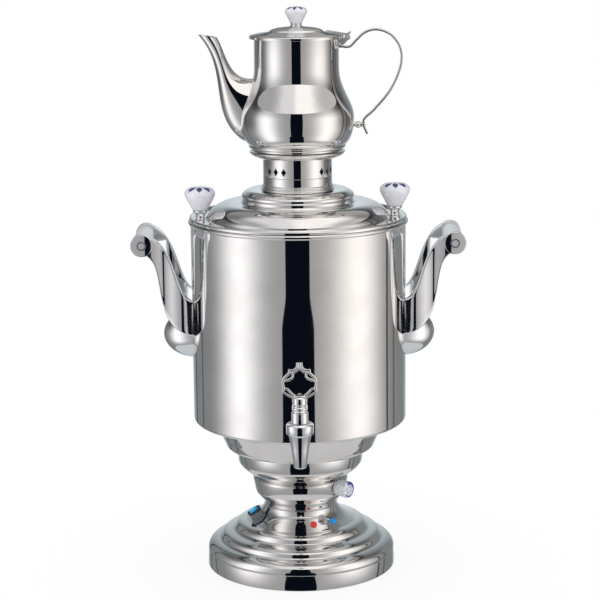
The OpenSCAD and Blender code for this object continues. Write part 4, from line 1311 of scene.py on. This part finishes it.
@dataclass
class Tap(SubAssembly):
    """The tap with its sleeve, bonnet and pierced key.

    Attributes:
        reach: From the tank's wall to the tap's axis.
        inlet: Height of the inlet above the tank's foot.
        barrel_r: The barrel's radius.
        bore_r: The barrel's inner radius.
        shank_r: The shank's radius at the wall.
        collar_r: The sleeve's widest radius.
        stem_r: The key stem's radius.
        nozzle: The nozzle's inner and outer radius.
        below: From the inlet down to the sleeve.
        above: From the inlet up to the bonnet.
        stem_z: From the inlet up to the key's stem.
        key_z: From the inlet up to the point the key is drawn from.
        depth: Half the key's depth.
    """

    reach: float = 50.5
    inlet: float = 49.0
    barrel_r: float = 9.8
    bore_r: float = 6.6
    shank_r: float = 9.4
    collar_r: float = 16.2
    stem_r: float = 8.2
    nozzle: Point = (3.6, 5.4)
    below: float = 6.5
    above: float = 6.2
    stem_z: float = 14.2
    key_z: float = 22.0
    depth: float = 3.0

    @property
    def z(self) -> float:
        """Height of the inlet."""
        return self.sizes.z_tank + self.inlet

    @property
    def front(self) -> float:
        """Distance of the tap's axis from the samovar's."""
        return self.sizes.tank_r + self.reach

    def upright(self, outline: Sequence[Point], ease: float) -> Mesh:
        """A piece turned about the tap's axis."""
        return moved(turned(eased(outline, ease), 72), spot(0, -self.front, 0))

    def level(self, outline: Sequence[Point], steps: int) -> Mesh:
        """A piece turned about the shank's axis."""
        return moved(turned(outline, steps), Around.FORWARD.turn, spot(0, 0, self.z))

    def barrel(self) -> None:
        """The barrel, the shank and the washers on the wall."""
        r, bore, root, (inner, outer) = self.barrel_r, self.bore_r, self.shank_r, self.nozzle
        top, foot, wall, end = self.z + self.above, self.z - self.below, self.sizes.tank_r, self.front - 7
        tube = self.upright([(bore, foot - 8), (r, foot - 8), (r, top), (bore, top)], 0.5)
        shank = [(0, wall - 1), (root, wall - 1), (root, wall + 9), (6.4, wall + 10), (6.4, end), (0, end)]
        nozzle = self.upright([(inner, foot - 55), (outer, foot - 55), (outer, foot), (inner, foot)], 0.3)
        bm = joined(tube, self.level(eased(shank, 0.6), 72), nozzle)
        self.cast(bm, "tap_barrel", "tap_body").visible_glossy = False
        washers = [
            self.level([(bore, near), (root - 0.2, near), (root - 0.2, far), (bore, far)], 48)
            for near, far in ((wall + 0.1, wall + 0.9), (wall - 2.2, wall - 1.3))
        ]
        self.put(joined(*washers), "tap_washers", BLACK_RUBBER, "black_rubber", ["tap_gaskets"])

    def sleeve(self) -> None:
        """The conical sleeve round the nozzle."""
        r, z, outer = self.collar_r, self.z - self.below, self.nozzle[1]
        outline = (
            [(outer, z - 55.2)]
            + arc((5.6, z - 53), 2.2, -90, -15, 6)
            + [(r - 5.8, z - 32), (r - 2.8, z - 14.6), (r - 0.6, z - 13.6), (r, z - 12.4), (r, z - 2.4),
               (r - 1.4, z - 1), (r - 3.2, z), (outer, z)]
        )
        self.cast(self.upright(outline, 0.6), "nozzle_sleeve", "tap_sleeve")

    def bonnet(self) -> None:
        """The grooved bonnet that holds the plug."""
        z = self.z + self.above
        outline = [(5.05, z), (8.8, z), (8.8, z + 1.6), (7.8, z + 2.2), (7.8, z + 3.2), (8.8, z + 3.8),
                   (8.8, z + 5.6), (7.6, z + 6.6), (7.6, z + 7.7), (5.05, z + 7.7)]
        self.cast(self.upright(outline, 0.3), "grooved_bonnet", "tap_bonnet").visible_glossy = False

    def rod(self, line: Sequence[Point], half: float, deep: float) -> Mesh:
        """A rod of the key, along a line drawn from the top of the stem.

        Args:
            line: The points it runs through, across and up.
            half: Half its width seen from the front.
            deep: Half its depth.

        Returns:
            The rod.
        """
        points = along_line(through(line, 4))
        rings = []
        for i, (p, way) in enumerate(points):
            turn = frame_of(Vector((-way.y, 0, way.x)), Vector((0, -1, 0)))
            grow = 0.75 if i in (0, len(points) - 1) else 1.0
            place = spot(p.x, -self.front, self.z + self.key_z + p.y) @ turn
            rings.append((place, rounded_box(half * grow, deep * grow, 0.9 * half)))
        return loft(rings)

    def key(self) -> None:
        """The cast key: ridged diagonals, lobes with a slot in each, and a crest."""
        outer = [(5.0, 0.4), (11.5, 3.5), (16.7, 7.0), (20.4, 9.4)]
        inner = [(5.0, 3.0), (9.2, 6.4), (12.7, 10.4), (14.8, 12.3), (18.0, 13.0)]
        flank = [(19.6, 9.2), (18.6, 12.0), (19.0, 16.5), (19.6, 20.2), (18.7, 23.6), (16.4, 26.5),
                 (13.2, 29.6), (11.2, 31.8)]
        lip = [(18.4, 22.0), (13.8, 22.6), (10.4, 24.1), (8.2, 26.1), (7.6, 28.4), (8.4, 30.6), (11.2, 31.6)]
        crest = [(11.4, 31.6), (11.9, 34.4), (8.6, 34.3), (5.2, 35.2), (3.2, 37.8), (2.5, 41.3), (2.5, 43.9)]
        brow = [(8.8, 31.0), (5.2, 32.7), (2.4, 35.0), (0, 36.4)]
        lines = ((outer, 1.15), (inner, 1.3), (flank, 1.45), (lip, 1.25), (crest, 1.3), (brow, 1.3))
        rods = [
            self.rod([(side * x, y) for x, y in line], half, self.depth)
            for side in (-1, 1) for line, half in lines
        ]
        rods.append(self.rod([(-5.4, 2.6), (0, 2.6), (5.4, 2.6)], 1.5, self.depth))
        rods.append(self.rod([(0, 35.5), (0, 39.5), (0, 43.6)], 1.5, 2.3))
        z, r = self.z + self.stem_z, self.stem_r
        stem = [(5, z), (r - 0.6, z), (r - 0.6, z + 1.2), (r, z + 1.8), (r, z + 9), (r - 1.4, z + 10.4),
                (r - 3, z + 11), (0, z + 11), (0, z + 5), (5, z + 5)]
        key = self.cast(joined(self.upright(stem, 0.4), *rods), "pierced_key", "tap_key", "tap_key", 50)
        for piece in (key, frame["nodes"]["tap_plug"]):
            piece.visible_glossy = False

    def build(self) -> None:
        """Builds the tap."""
        self.barrel()
        self.sleeve()
        self.bonnet()
        self.key()


@dataclass
class Controls(SubAssembly):
    """The pilot lamps, the rocker switch and the thermostat knob.

    Attributes:
        knob_az: How far round from the front the knob stands, in degrees.
        knob_at: Its height as a share of the ring's.
        knob_r: Its radius.
        knob_l: Its length.
        ribs: How many ribs it has.
        rib_cut: The depth between ribs, as a share of the radius.
        lamp_r: A pilot lamp's painted bright middle, in metres.
        rocker_r: The rocker's painted bright middle, in metres.
    """

    knob_az: float = 50.0
    knob_at: float = 0.81
    knob_r: float = 10.5
    knob_l: float = 19.5
    ribs: int = 22
    rib_cut: float = 0.035
    lamp_r: float = 0.0036
    rocker_r: float = 0.010

    def lens(self, name: str, node: str, finish: Lens, slot: str, body: str = "") -> None:
        """A lens of the CAD node's shape, painted brightest at the middle of its outer face.

        Args:
            name: The piece's name.
            node: The node it stands for.
            finish: Its finish.
            slot: The record's material slot.
            body: The body it rides on, if not the tank.
        """
        self.put(copied(node), name, finish, slot, [node], body, crease=40)

    @staticmethod
    def middle(node: str, out: float = 0.0) -> Triple:
        """The middle of a node's box.

        Args:
            node: The node's name.
            out: How far outwards from it the wanted point is, in metres.

        Returns:
            The point.
        """
        low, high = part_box(node)
        middle = (low + high) / 2
        return tuple(middle + Vector((middle.x, middle.y, 0)).normalized() * out)

    def lamps(self) -> None:
        """The two pilot lamps and the rocker in its housing."""
        front = self.middle
        red = Lens("red_lens", (0.36, 0.012, 0.008), centre=front("red_lamp", MM), reach=self.lamp_r,
                   core=(0.95, 0.17, 0.13), glow=0.4)
        blue = Lens("blue_lens", (0.0, 0.018, 0.04), centre=front("blue_lamp", MM), reach=self.lamp_r,
                    core=(0.0, 0.12, 0.20), glow=0.2)
        lit = Lens("switch_lens", (0.0, 0.05, 0.16), centre=front("switch_rocker", MM), reach=self.rocker_r,
                   core=(0.0, 0.50, 0.95), glow=0.45)
        self.lens("pilot_red", "red_lamp", red, "red_lens")
        self.lens("pilot_blue", "blue_lamp", blue, "blue_lens")
        self.lens("rocker", "switch_rocker", lit, "blue_lens", "switch_rocker")
        inside, face = Vector(front("switch_housing")), Vector(front("switch_rocker"))
        rim = Rimmed("rimmed_housing", (0.29, 0.31, 0.33), 0.35, coat=0.3, centre=tuple(face),
                     out=tuple((face - inside).normalized()))
        self.put(copied("switch_housing"), "switch_box", rim, "grey_plastic", ["switch_housing"])

    def thermostat(self) -> None:
        """The milky ribbed knob with an arc painted on its face."""
        s, r = self.sizes, self.knob_r
        start = s.ring_r + s.gap
        end = start + self.knob_l
        outline = (
            [(3, start + 2), (3, start), (r - 2, start), (r - 1, start + 1.5), (r - 0.4, start + 6),
             (r, end - 5.3)]
            + arc((r - 2.5, end - 2.5), 2.5, 0, 90, 8)
            + [(r - 3.4, end), (r - 4.0, end - 0.5), (0, end - 0.5), (0, start + 2)]
        )
        bm = turned(outline, self.ribs * 8)
        for v in bm.verts:
            if math.hypot(v.co.x, v.co.y) > (r - 2.2) * MM and v.co.z < (end - 2.4) * MM:
                wave = math.cos(self.ribs * math.atan2(v.co.y, v.co.x))
                v.co.xy *= 1 - self.rib_cut * (0.5 - 0.5 * wave)
        z = s.z_bell + self.knob_at * (s.z_ring - s.z_bell)
        az = math.radians(self.knob_az)
        moved(bm, Around.FORWARD.turn, spot(0, 0, z) @ Matrix.Rotation(az, 4, "Z"))
        out = (math.sin(az), -math.cos(az), 0.0)
        face = (end - 0.3) * MM
        milk = DialPlastic("milky_plastic", (0.80, 0.82, 0.88), 0.12, out=out, radius=r * MM,
                           centre=(out[0] * face, out[1] * face, z * MM))
        self.put(bm, "stat_knob", milk, "clear_plastic", ["thermostat_knob"], "thermostat_knob")

    def build(self) -> None:
        """Builds the controls."""
        self.lamps()
        self.thermostat()


@dataclass
class Crown(SubAssembly):
    """The pierced collar and the pan that the teapot stands in.

    Attributes:
        diamond_w: A diamond's width.
        diamond_h: Its height.
        diamond_z: Its middle's height above the collar's foot.
        apart: From one diamond of a group to the next, in degrees.
        groups: Where the groups' middles are, in degrees from the front.
    """

    body: str = "crown"
    diamond_w: float = 7.0
    diamond_h: float = 10.0
    diamond_z: float = 8.0
    apart: float = 15.0
    groups: tuple[float, ...] = (-38.5, 58.5, 141.5, 238.5)

    def diamond(self, turn: float) -> Mesh:
        """A cutter for one diamond.

        Args:
            turn: How far round from the front it is, in degrees.

        Returns:
            The cutter.
        """
        s = self.sizes
        cut = bmesh.new()
        bmesh.ops.create_circle(cut, cap_ends=True, segments=4, radius=0.5)
        pulled = bmesh.ops.extrude_face_region(cut, geom=cut.faces[:])["geom"]
        lifted = [v for v in pulled if isinstance(v, bmesh.types.BMVert)]
        bmesh.ops.translate(cut, verts=lifted, vec=(0, 0, 0.012))
        moved(cut, Matrix.Diagonal((self.diamond_w * MM, self.diamond_h * MM, 1, 1)), Around.FORWARD.turn,
              spot(0, 5 - s.collar_r, s.z_crown + self.diamond_z))
        bmesh.ops.recalc_face_normals(cut, faces=cut.faces)
        return moved(cut, Matrix.Rotation(math.radians(turn), 4, "Z"))

    def collar(self) -> None:
        """The collar with its diamonds."""
        s = self.sizes
        r, z = s.collar_r, s.z_crown
        outline = [(r, z), (r, s.z_pan), (r - 1, s.z_pan), (r - 1, z + 1.6), (r - 2.3, z + 1.6),
                   (r - 2.3, z - 8), (r - 1.3, z - 8), (r - 1.3, z)]
        cutters = [self.diamond(g + self.apart * k) for g in self.groups for k in (-1, 0, 1)]
        bm = pierced(turned(eased(outline, 0.25), 180), joined(*cutters))
        self.polished(bm, "pierced_collar", "crown_collar")

    def pan(self) -> None:
        """The pan with its rolled lip, and the ring that the teapot stands on."""
        s = self.sizes
        r, lip, z, top = s.collar_r, s.pan_r, s.z_pan, s.z_pan + s.pan_h
        outline = (
            [(r - 2, z), (r + 1, z)]
            + curve((r + 2.4, z + 0.4), (r + 9, z + 2), (lip - 1.4, z + 4), (lip, z + 8), 12)
            + arc((lip - 1.0, z + 8.4), 1.3, -20, 190, 10)
        )
        seat = [(r - 2, z + 1), (r + 1, z + 1), (r + 1, top), (r - 2, top)]
        bm = joined(shell(outline, s.sheet), turned(eased(seat, 0.4), 128))
        self.polished(bm, "rolled_pan", "crown_pan")

    def build(self) -> None:
        """Builds the crown."""
        self.collar()
        self.pan()


@dataclass
class Teapot(SubAssembly):
    """The teapot with its spout and strip handle.

    Attributes:
        spout_reach: From the axis to the spout's tip.
        strip_w: The strip handle's width.
        strip_t: Its thickness.
        reach: How far it stands out from the neck.
        shares: Its middle line: share of the reach, share of the teapot's height.
        rivet_out: From the belly to the strip at its rivet.
        ball_r: The rivet ball's radius.
    """

    body: str = "teapot"
    spout_reach: float = 119.6
    strip_w: float = 13.0
    strip_t: float = 2.8
    reach: float = 75.0
    shares: tuple[Point, ...] = (
        (-0.004, 0.9271), (0.05, 0.9271), (0.175, 0.9257), (0.2825, 0.981), (0.425, 1.0496), (0.625, 1.0736),
        (0.85, 1.024), (1, 0.9001), (1, 0.7434), (0.8375, 0.5394), (0.575, 0.3681),
    )
    rivet_out: float = 11.4
    ball_r: float = 4.3

    def outline(self) -> list[Point]:
        """The body's outer face.

        Returns:
            Its outline, from the middle of the bottom up.
        """
        s = self.sizes
        z, r, neck = s.z_pot, s.belly_r, s.neck_r
        return (
            [(0, z), (50, z)]
            + arc((53, z + 2.9), 2.9, -80, 60, 10)
            + arc((57, z + 7), 2.8, -50, 50, 8)
            + curve((r - 9.4, z + 9.4), (r - 3.5, z + 15), (r, z + 26), (r, z + 38), 24)
            + curve((r, z + 42), (r, z + 61), (neck + 0.3, z + 75), (neck + 0.2, z + 102), 32)
            + [(neck, s.z_pot_top)]
        )

    def belly_at(self, z: float) -> float:
        """The body's radius at a height.

        Args:
            z: The height in millimetres.

        Returns:
            The radius in millimetres.
        """
        table = [(p[1], p[0]) for p in self.outline() if p[1] > self.sizes.z_pot + 10]
        for (z0, r0), (z1, r1) in zip(table, table[1:]):
            if z0 <= z <= z1:
                return r0 + (r1 - r0) * (z - z0) / max(z1 - z0, TINY)
        return table[-1][1]

    def spout(self) -> None:
        """The curved spout, a tube whose foot lies on the belly."""
        s = self.sizes
        z, top, reach, neck = s.z_pot, s.z_pot_top, self.spout_reach, -s.neck_r
        n, sides = 28, 40
        low = curve((neck - 12, z + 11), (neck - 61, z + 43.7), (-reach + 39.6, z + 98.9),
                    (-reach, top + 5.7), n)
        high = curve((neck - 1, z + 89), (neck - 31.6, z + 86.3), (neck - 33, z + 120.2),
                     (-reach + 23, top + 2.1), n)
        depth = [p[0] for p in curve((19, 0), (19, 0), (9, 0), (8.5, 0), n)]

        def ring(i: int, wall: float) -> tuple[Matrix, list[Point]]:
            """One section of the tube.

            Args:
                i: Its number, from the foot.
                wall: How far it is drawn in.

            Returns:
                Its place and its outline.
            """
            a, b = Vector(low[i]), Vector(high[i])
            middle, across = (a + b) / 2, b - a
            turn = frame_of(Vector((0, 1, 0)), Vector((across.x, 0, across.y)))
            return spot(middle.x, 0, middle.y) @ turn, oval(depth[i] - wall, across.length / 2 - wall, sides)

        rings = [ring(i, 0) for i in range(n + 1)] + [ring(i, s.sheet) for i in range(n, -1, -1)]
        bm = loft(rings, closed=True)
        for v in bm.verts[:sides] + bm.verts[-sides:]:
            r = (self.belly_at(v.co.z / MM) - 0.4) * MM
            v.co.x = -math.sqrt(max(r * r - v.co.y**2, 0))
        self.polished(bm, "pot_spout", "teapot_spout", 50)

    def handle(self) -> None:
        """The strip handle with its rivet and ball."""
        s = self.sizes
        z, b, h = s.z_pot, s.belly_r, s.pot_h
        x, rivet_z = b + self.rivet_out, z + 0.2296 * h
        line = [(s.neck_r + u * self.reach, z + v * h) for u, v in self.shares]
        line += [(b + 13, z + 0.2879 * h), (x, rivet_z), (x + 4.6, z + 0.1494 * h)]
        section = rounded_box(self.strip_t / 2, self.strip_w / 2, 0.8, corner=3, side=4)
        rings = [
            (spot(p.x, 0, p.y) @ frame_of(Vector((-way.y, 0, way.x)), Vector((0, -1, 0))), section)
            for p, way in along_line(through(line, 6))
        ]
        self.polished(loft(rings), "pot_strip", "teapot_handle", 50)
        face = x + self.strip_t / 2
        ball = x - self.ball_r - self.strip_t / 2 - 0.9
        stud = [(0, b - 1), (3, b - 1)] + arc((0, ball), self.ball_r, -45, 45, 14)
        stud += [(3, x), (3.4, face), (3.3, face + 0.5), (2.2, face + 0.9), (0, face + 1)]
        bm = moved(turned(stud, 48), Around.SIDEWAYS.turn, spot(0, 0, rivet_z))
        self.polished(bm, "ball_rivet", "handle_rivet")

    def build(self) -> None:
        """Builds the teapot with its hinge."""
        self.sheet(self.outline(), "pot_body", "teapot_body", 192)
        self.spout()
        self.handle()
        self.put(copied("hinge_bracket"), "hinge_ears", BRUSHED, "polished_steel", ["hinge_bracket"])
        self.put(copied("hinge_pin"), "hinge_rod", BRUSHED, "plated_steel", ["hinge_pin"])


@dataclass
class TeapotLid(SubAssembly):
    """The teapot's lid with its strap, ferrule and porcelain knob."""

    body: str = "teapot_lid"
    knob_r: float = 13.7
    knob_h: float = 20.0
    knob_seat: float = 6.8
    turn: float = 10.0
    cup_h: float = 3.9

    def cover(self) -> None:
        """The pressed lid with the rim that goes into the neck."""
        s = self.sizes
        z, r, neck, top = s.z_lid, s.pot_lid_r, s.neck_r - 1.5, s.z_ferrule
        outline = (
            [(neck, z), (r, z), (r, z + 2.8)]
            + arc((r - 1.4, z + 2.8), 1.4, 10, 75, 6)
            + [(r - 8, z + 6), (34, z + 8.2)]
            + curve((33, z + 8.6), (31.6, z + 11.4), (24, z + 13.4), (8, top), 12)
            + [(0, top)]
        )
        rim = [(neck - 1, z - 6), (neck, z - 6), (neck, z + 5), (neck - 1, z + 5)]
        bm = joined(shell(outline, s.sheet, 0.5), turned(eased(rim, 0.3), 128))
        self.polished(bm, "pot_cover", "teapot_lid")

    def knob(self) -> None:
        """The porcelain knob in its ferrule."""
        z, h = self.sizes.z_ferrule, self.cup_h
        cup = [(2, z), (7.6, z), (7.6, z + 1), (6.4, z + 1.6), (6.4, z + 2.6), (7.2, z + 3.2), (7.2, z + h),
               (2, z + h)]
        self.put(turned(eased(cup, 0.25), 48), "knob_cup", CASTING, "polished_steel", ["knob_ferrule"])
        self.porcelain("pot_knob", "porcelain_top", (0, 0, z + h), self.knob_r, self.knob_h,
                       self.knob_seat, self.turn, ["teapot_knob"])

    def build(self) -> None:
        """Builds the teapot's lid."""
        self.cover()
        self.put(copied("lid_strap"), "cover_strap", BRUSHED, "polished_steel", ["lid_strap"])
        self.knob()


@dataclass
class CarriedNodes:
    """Finishes for the solids that stay as they are."""

    finishes: dict[str, Finish] = field(default_factory=lambda: {
        "dull_zinc": ZINC, "plated_steel": ZINC, "polished_steel": STEEL, "tank_steel": STEEL,
        "cast_metal": CASTING, "brass_parts": BRASS, "element_steel": ELEMENT, "black_rubber": BLACK_RUBBER,
        "black_plastic": BLACK_PLASTIC, "grey_plastic": GREY_PLASTIC, "white_plastic": PALE_PLASTIC,
    })

    def build(self) -> None:
        """Dresses each node by its material slot; the slots left out hold only nodes that are replaced."""
        for part in frame["record"]["subparts"]:
            finish = self.finishes.get(part["material_slot"])
            if finish:
                materials = frame["nodes"][part["node"]].data.materials
                materials.clear()
                materials.append(finish.material())
                LOG.info("%s: %s", part["node"], finish.name)


# The studio


@dataclass
class TentCloth:
    """The light that polished metal shows, by place on the tent's wall.

    The front has a dark slit that widens downwards, each side a soft lamp and two folds, the back a paler
    wall, and the roof is brightest at the right. Azimuths run from 0 at the front to 180 at the back on both
    sides; heights and widths are in metres.

    Attributes:
        eaves: Height where the roof begins.
        foot: Height of the tent's foot.
        wall: The wall's light.
        lamp_at: The lamps' azimuth.
        lamp_half: Half their width, in degrees.
        lamp: Their light.
        slit_at: Where the slit's middle is, to the left of the front.
        slit_half: Half the slit's width at the top.
        slit: The slit's light.
        roof: The roof's light at the left.
        floor: The light from below.
    """

    eaves: float = 0.948
    foot: float = -0.42
    wall: float = 0.37
    lamp_at: float = 62.0
    lamp_half: float = 22.0
    lamp: float = 0.85
    slit_at: float = 0.012
    slit_half: float = 0.153
    slit: float = 0.009
    roof: float = 0.84
    floor: float = 0.62

    def shade_of_wall(self, azimuth: Sock, z: Sock) -> Sock:
        """The wall's light without the lamps: paler at the back, darker at the flanks and higher up.

        Args:
            azimuth: A point's azimuth.
            z: Its height.

        Returns:
            The light.
        """
        back = azimuth.step(138, 180) * (0.55 - z.step(0.66, 0.82) * 0.4)
        flank = azimuth.step(75, 95) * azimuth.step(140, 125) * z.step(0.30, 0.50) * 0.45
        upper = azimuth.step(60, 110) * z.step(0.76, 0.92) * 0.7
        return (self.wall - azimuth.step(70, 110) * 0.12 + back) * (1 - flank) * (1 - upper)

    def lamps(self, azimuth: Sock, right: Sock, z: Sock) -> Sock:
        """The two soft lamps, the right one wider.

        Args:
            azimuth: A point's azimuth.
            right: 1 on the right-hand side.
            z: Its height.

        Returns:
            Their light, 1 at most.
        """
        spread = (azimuth - self.lamp_at) / (self.lamp_half + right * 5)
        return (spread * spread * -1).exponent() * (0.35 + z.step(0.93, 0.6) * 0.65) * z.step(-0.36, 0.02)

    @staticmethod
    def fold(azimuth: Sock, middle: Sock, half: float) -> Sock:
        """1 on a narrow band of azimuths."""
        return (azimuth - middle).absolute().step(half, 0.4 * half)

    def material(self) -> bpy.types.Material:
        """Makes the cloth.

        Returns:
            Its material.
        """
        made = bpy.data.materials.new("tent_cloth")
        book = NodeBook(made)
        x, y, z = book.parts(book.place())
        azimuth = (y * -1 / (x * x + y * y).root().most(1e-4)).arc_cosine() * (180 / math.pi)
        right = x.step(-0.02, 0.02)
        folds = self.fold(azimuth, 141 - right * 39, 2.2) * 0.8
        folds = folds + self.fold(azimuth, 121 - right * 6, 2.4) * 0.5
        edge = self.slit_half + z.step(0.14, 0.09) * 0.05 + z.step(0, -0.25) * 0.03
        slit = ((x + self.slit_at).absolute() - edge).step(0.004, -0.004) * (y < 0) * z.step(-0.405, -0.400)
        light = self.shade_of_wall(azimuth, z) + self.lamps(azimuth, right, z) * self.lamp
        light = light * (1 - folds) * (1 - slit) + slit * self.slit
        overhead = (self.roof + x.step(-0.15, 0.05) * 0.30) * (1 - x.absolute().step(0.36, 0.72) * 0.5)
        overhead = overhead * (1 - y.step(0.1, 0.45) * 0.65)
        roof, base = z > self.eaves, z < self.foot + 0.002
        strength = light * (1 - roof) * (1 - base) + roof * overhead + base * self.floor
        tint = book.mix(right * z.step(-0.2, 0.1), (0.985, 0.98, 0.985), (1.0, 0.965, 0.94))
        tint = book.mix(azimuth.step(100, 150) * (1 - roof), tint, (0.86, 0.95, 1.0))
        tint = book.mix(slit * (1 - roof) * (1 - base), tint, (0.35, 0.5, 1.0))
        glow = book.node("ShaderNodeEmission", values={"Color": tint, "Strength": strength})
        book.node("ShaderNodeOutputMaterial", values={"Surface": glow})
        return made


@dataclass
class Studio:
    """The camera, the white floor and the light tent, which only reflections see.

    Attributes:
        lens: The camera's lens in millimetres.
        sensor: Its sensor's width in millimetres.
        place: Where it stands, in metres.
        pitch: How far it looks down, in degrees.
        roll: How far it leans, in degrees.
        tent_r: The tent's radius in metres.
        tent_high: Its height, enough for the lifted teapot.
        floor_r: The floor's radius in metres.
        glow: How much of the floor's white is its own light.
    """

    lens: float = 115.3
    sensor: float = 36.0
    place: Triple = (0.0015, -2.354, 0.8315)
    pitch: float = 11.76
    roll: float = 0.55
    tent_r: float = 0.75
    tent_high: float = 1.2
    floor_r: float = 0.6
    glow: float = 0.85

    def camera(self) -> None:
        """The camera at the photograph's angle."""
        data = bpy.data.cameras.new("camera")
        data.lens = self.lens
        data.sensor_width = self.sensor
        camera = linked(data, "camera")
        tilt = Matrix.Rotation(math.radians(90 - self.pitch), 4, "X")
        lean = Matrix.Rotation(math.radians(-self.roll), 4, "Z")
        camera.matrix_world = Matrix.Translation(self.place) @ tilt @ lean
        bpy.context.scene.camera = camera

    def world(self) -> None:
        """Plain soft light from all sides on a white background."""
        world = bpy.data.worlds.new("daylight")
        bpy.context.scene.world = world
        book = NodeBook(world)
        seen = book.node("ShaderNodeLightPath", out="Is Camera Ray")
        colour = book.mix(seen, (0.97, 0.97, 0.98), (1.0, 1.0, 1.0))
        back = book.node("ShaderNodeBackground", values={"Color": colour, "Strength": 1.0})
        book.node("ShaderNodeOutputWorld", values={"Surface": back})

    @staticmethod
    def staged(bm: Mesh, name: str, material: bpy.types.Material) -> bpy.types.Object:
        """Adds something that isn't part of the samovar.

        Args:
            bm: Its mesh, which is freed.
            name: Its name.
            material: Its material.

        Returns:
            The object.
        """
        made = linked(as_data(bm, name), name)
        made.data.materials.append(material)
        return made

    def tent(self) -> None:
        """The light tent round the samovar."""
        cloth = TentCloth()
        low, high = cloth.foot, self.tent_high
        bm = bmesh.new()
        bmesh.ops.create_cone(
            bm, cap_ends=True, segments=128, radius1=self.tent_r, radius2=self.tent_r, depth=high - low
        )
        bmesh.ops.translate(bm, verts=bm.verts, vec=(0, 0, (high + low) / 2))
        bmesh.ops.reverse_faces(bm, faces=bm.faces)
        tent = self.staged(bm, "tent", cloth.material())
        tent.visible_camera = False
        tent.visible_diffuse = False
        tent.visible_transmission = False
        tent.visible_shadow = False

    def floor(self) -> None:
        """A white floor that keeps the shadow and fades into the background."""
        bm = bmesh.new()
        bmesh.ops.create_circle(bm, cap_ends=True, segments=96, radius=self.floor_r)
        made = bpy.data.materials.new("white_floor")
        book = NodeBook(made)
        x, y, _ = book.parts(book.place())
        clear = (x * x + y * y).root().step(0.12, 0.42)
        white = (1.0, 1.0, 1.0)
        plain = book.node("ShaderNodeBsdfDiffuse", values={"Color": white})
        own = book.node("ShaderNodeEmission", values={"Color": white, "Strength": 1.0})
        cloth = book.node("ShaderNodeMixShader", values={0: self.glow, 1: plain, 2: own})
        none = book.node("ShaderNodeBsdfTransparent")
        shader = book.node("ShaderNodeMixShader", values={0: clear, 1: cloth, 2: none})
        book.node("ShaderNodeOutputMaterial", values={"Surface": shader})
        self.staged(bm, "floor", made).visible_glossy = False

    def build(self) -> None:
        """Sets up the studio."""
        bpy.context.scene.view_settings.view_transform = "Standard"
        self.camera()
        self.world()
        self.tent()
        self.floor()


def main() -> None:
    """Builds the samovar and its studio."""
    parts = (Studio(), CarriedNodes(), Pedestal(), Tank(), SideHandles(), Tap(), Controls(), Lid(), Crown(),
             Teapot(), TeapotLid())
    for part in parts:
        part.build()


if __name__ == "__main__":
    main()
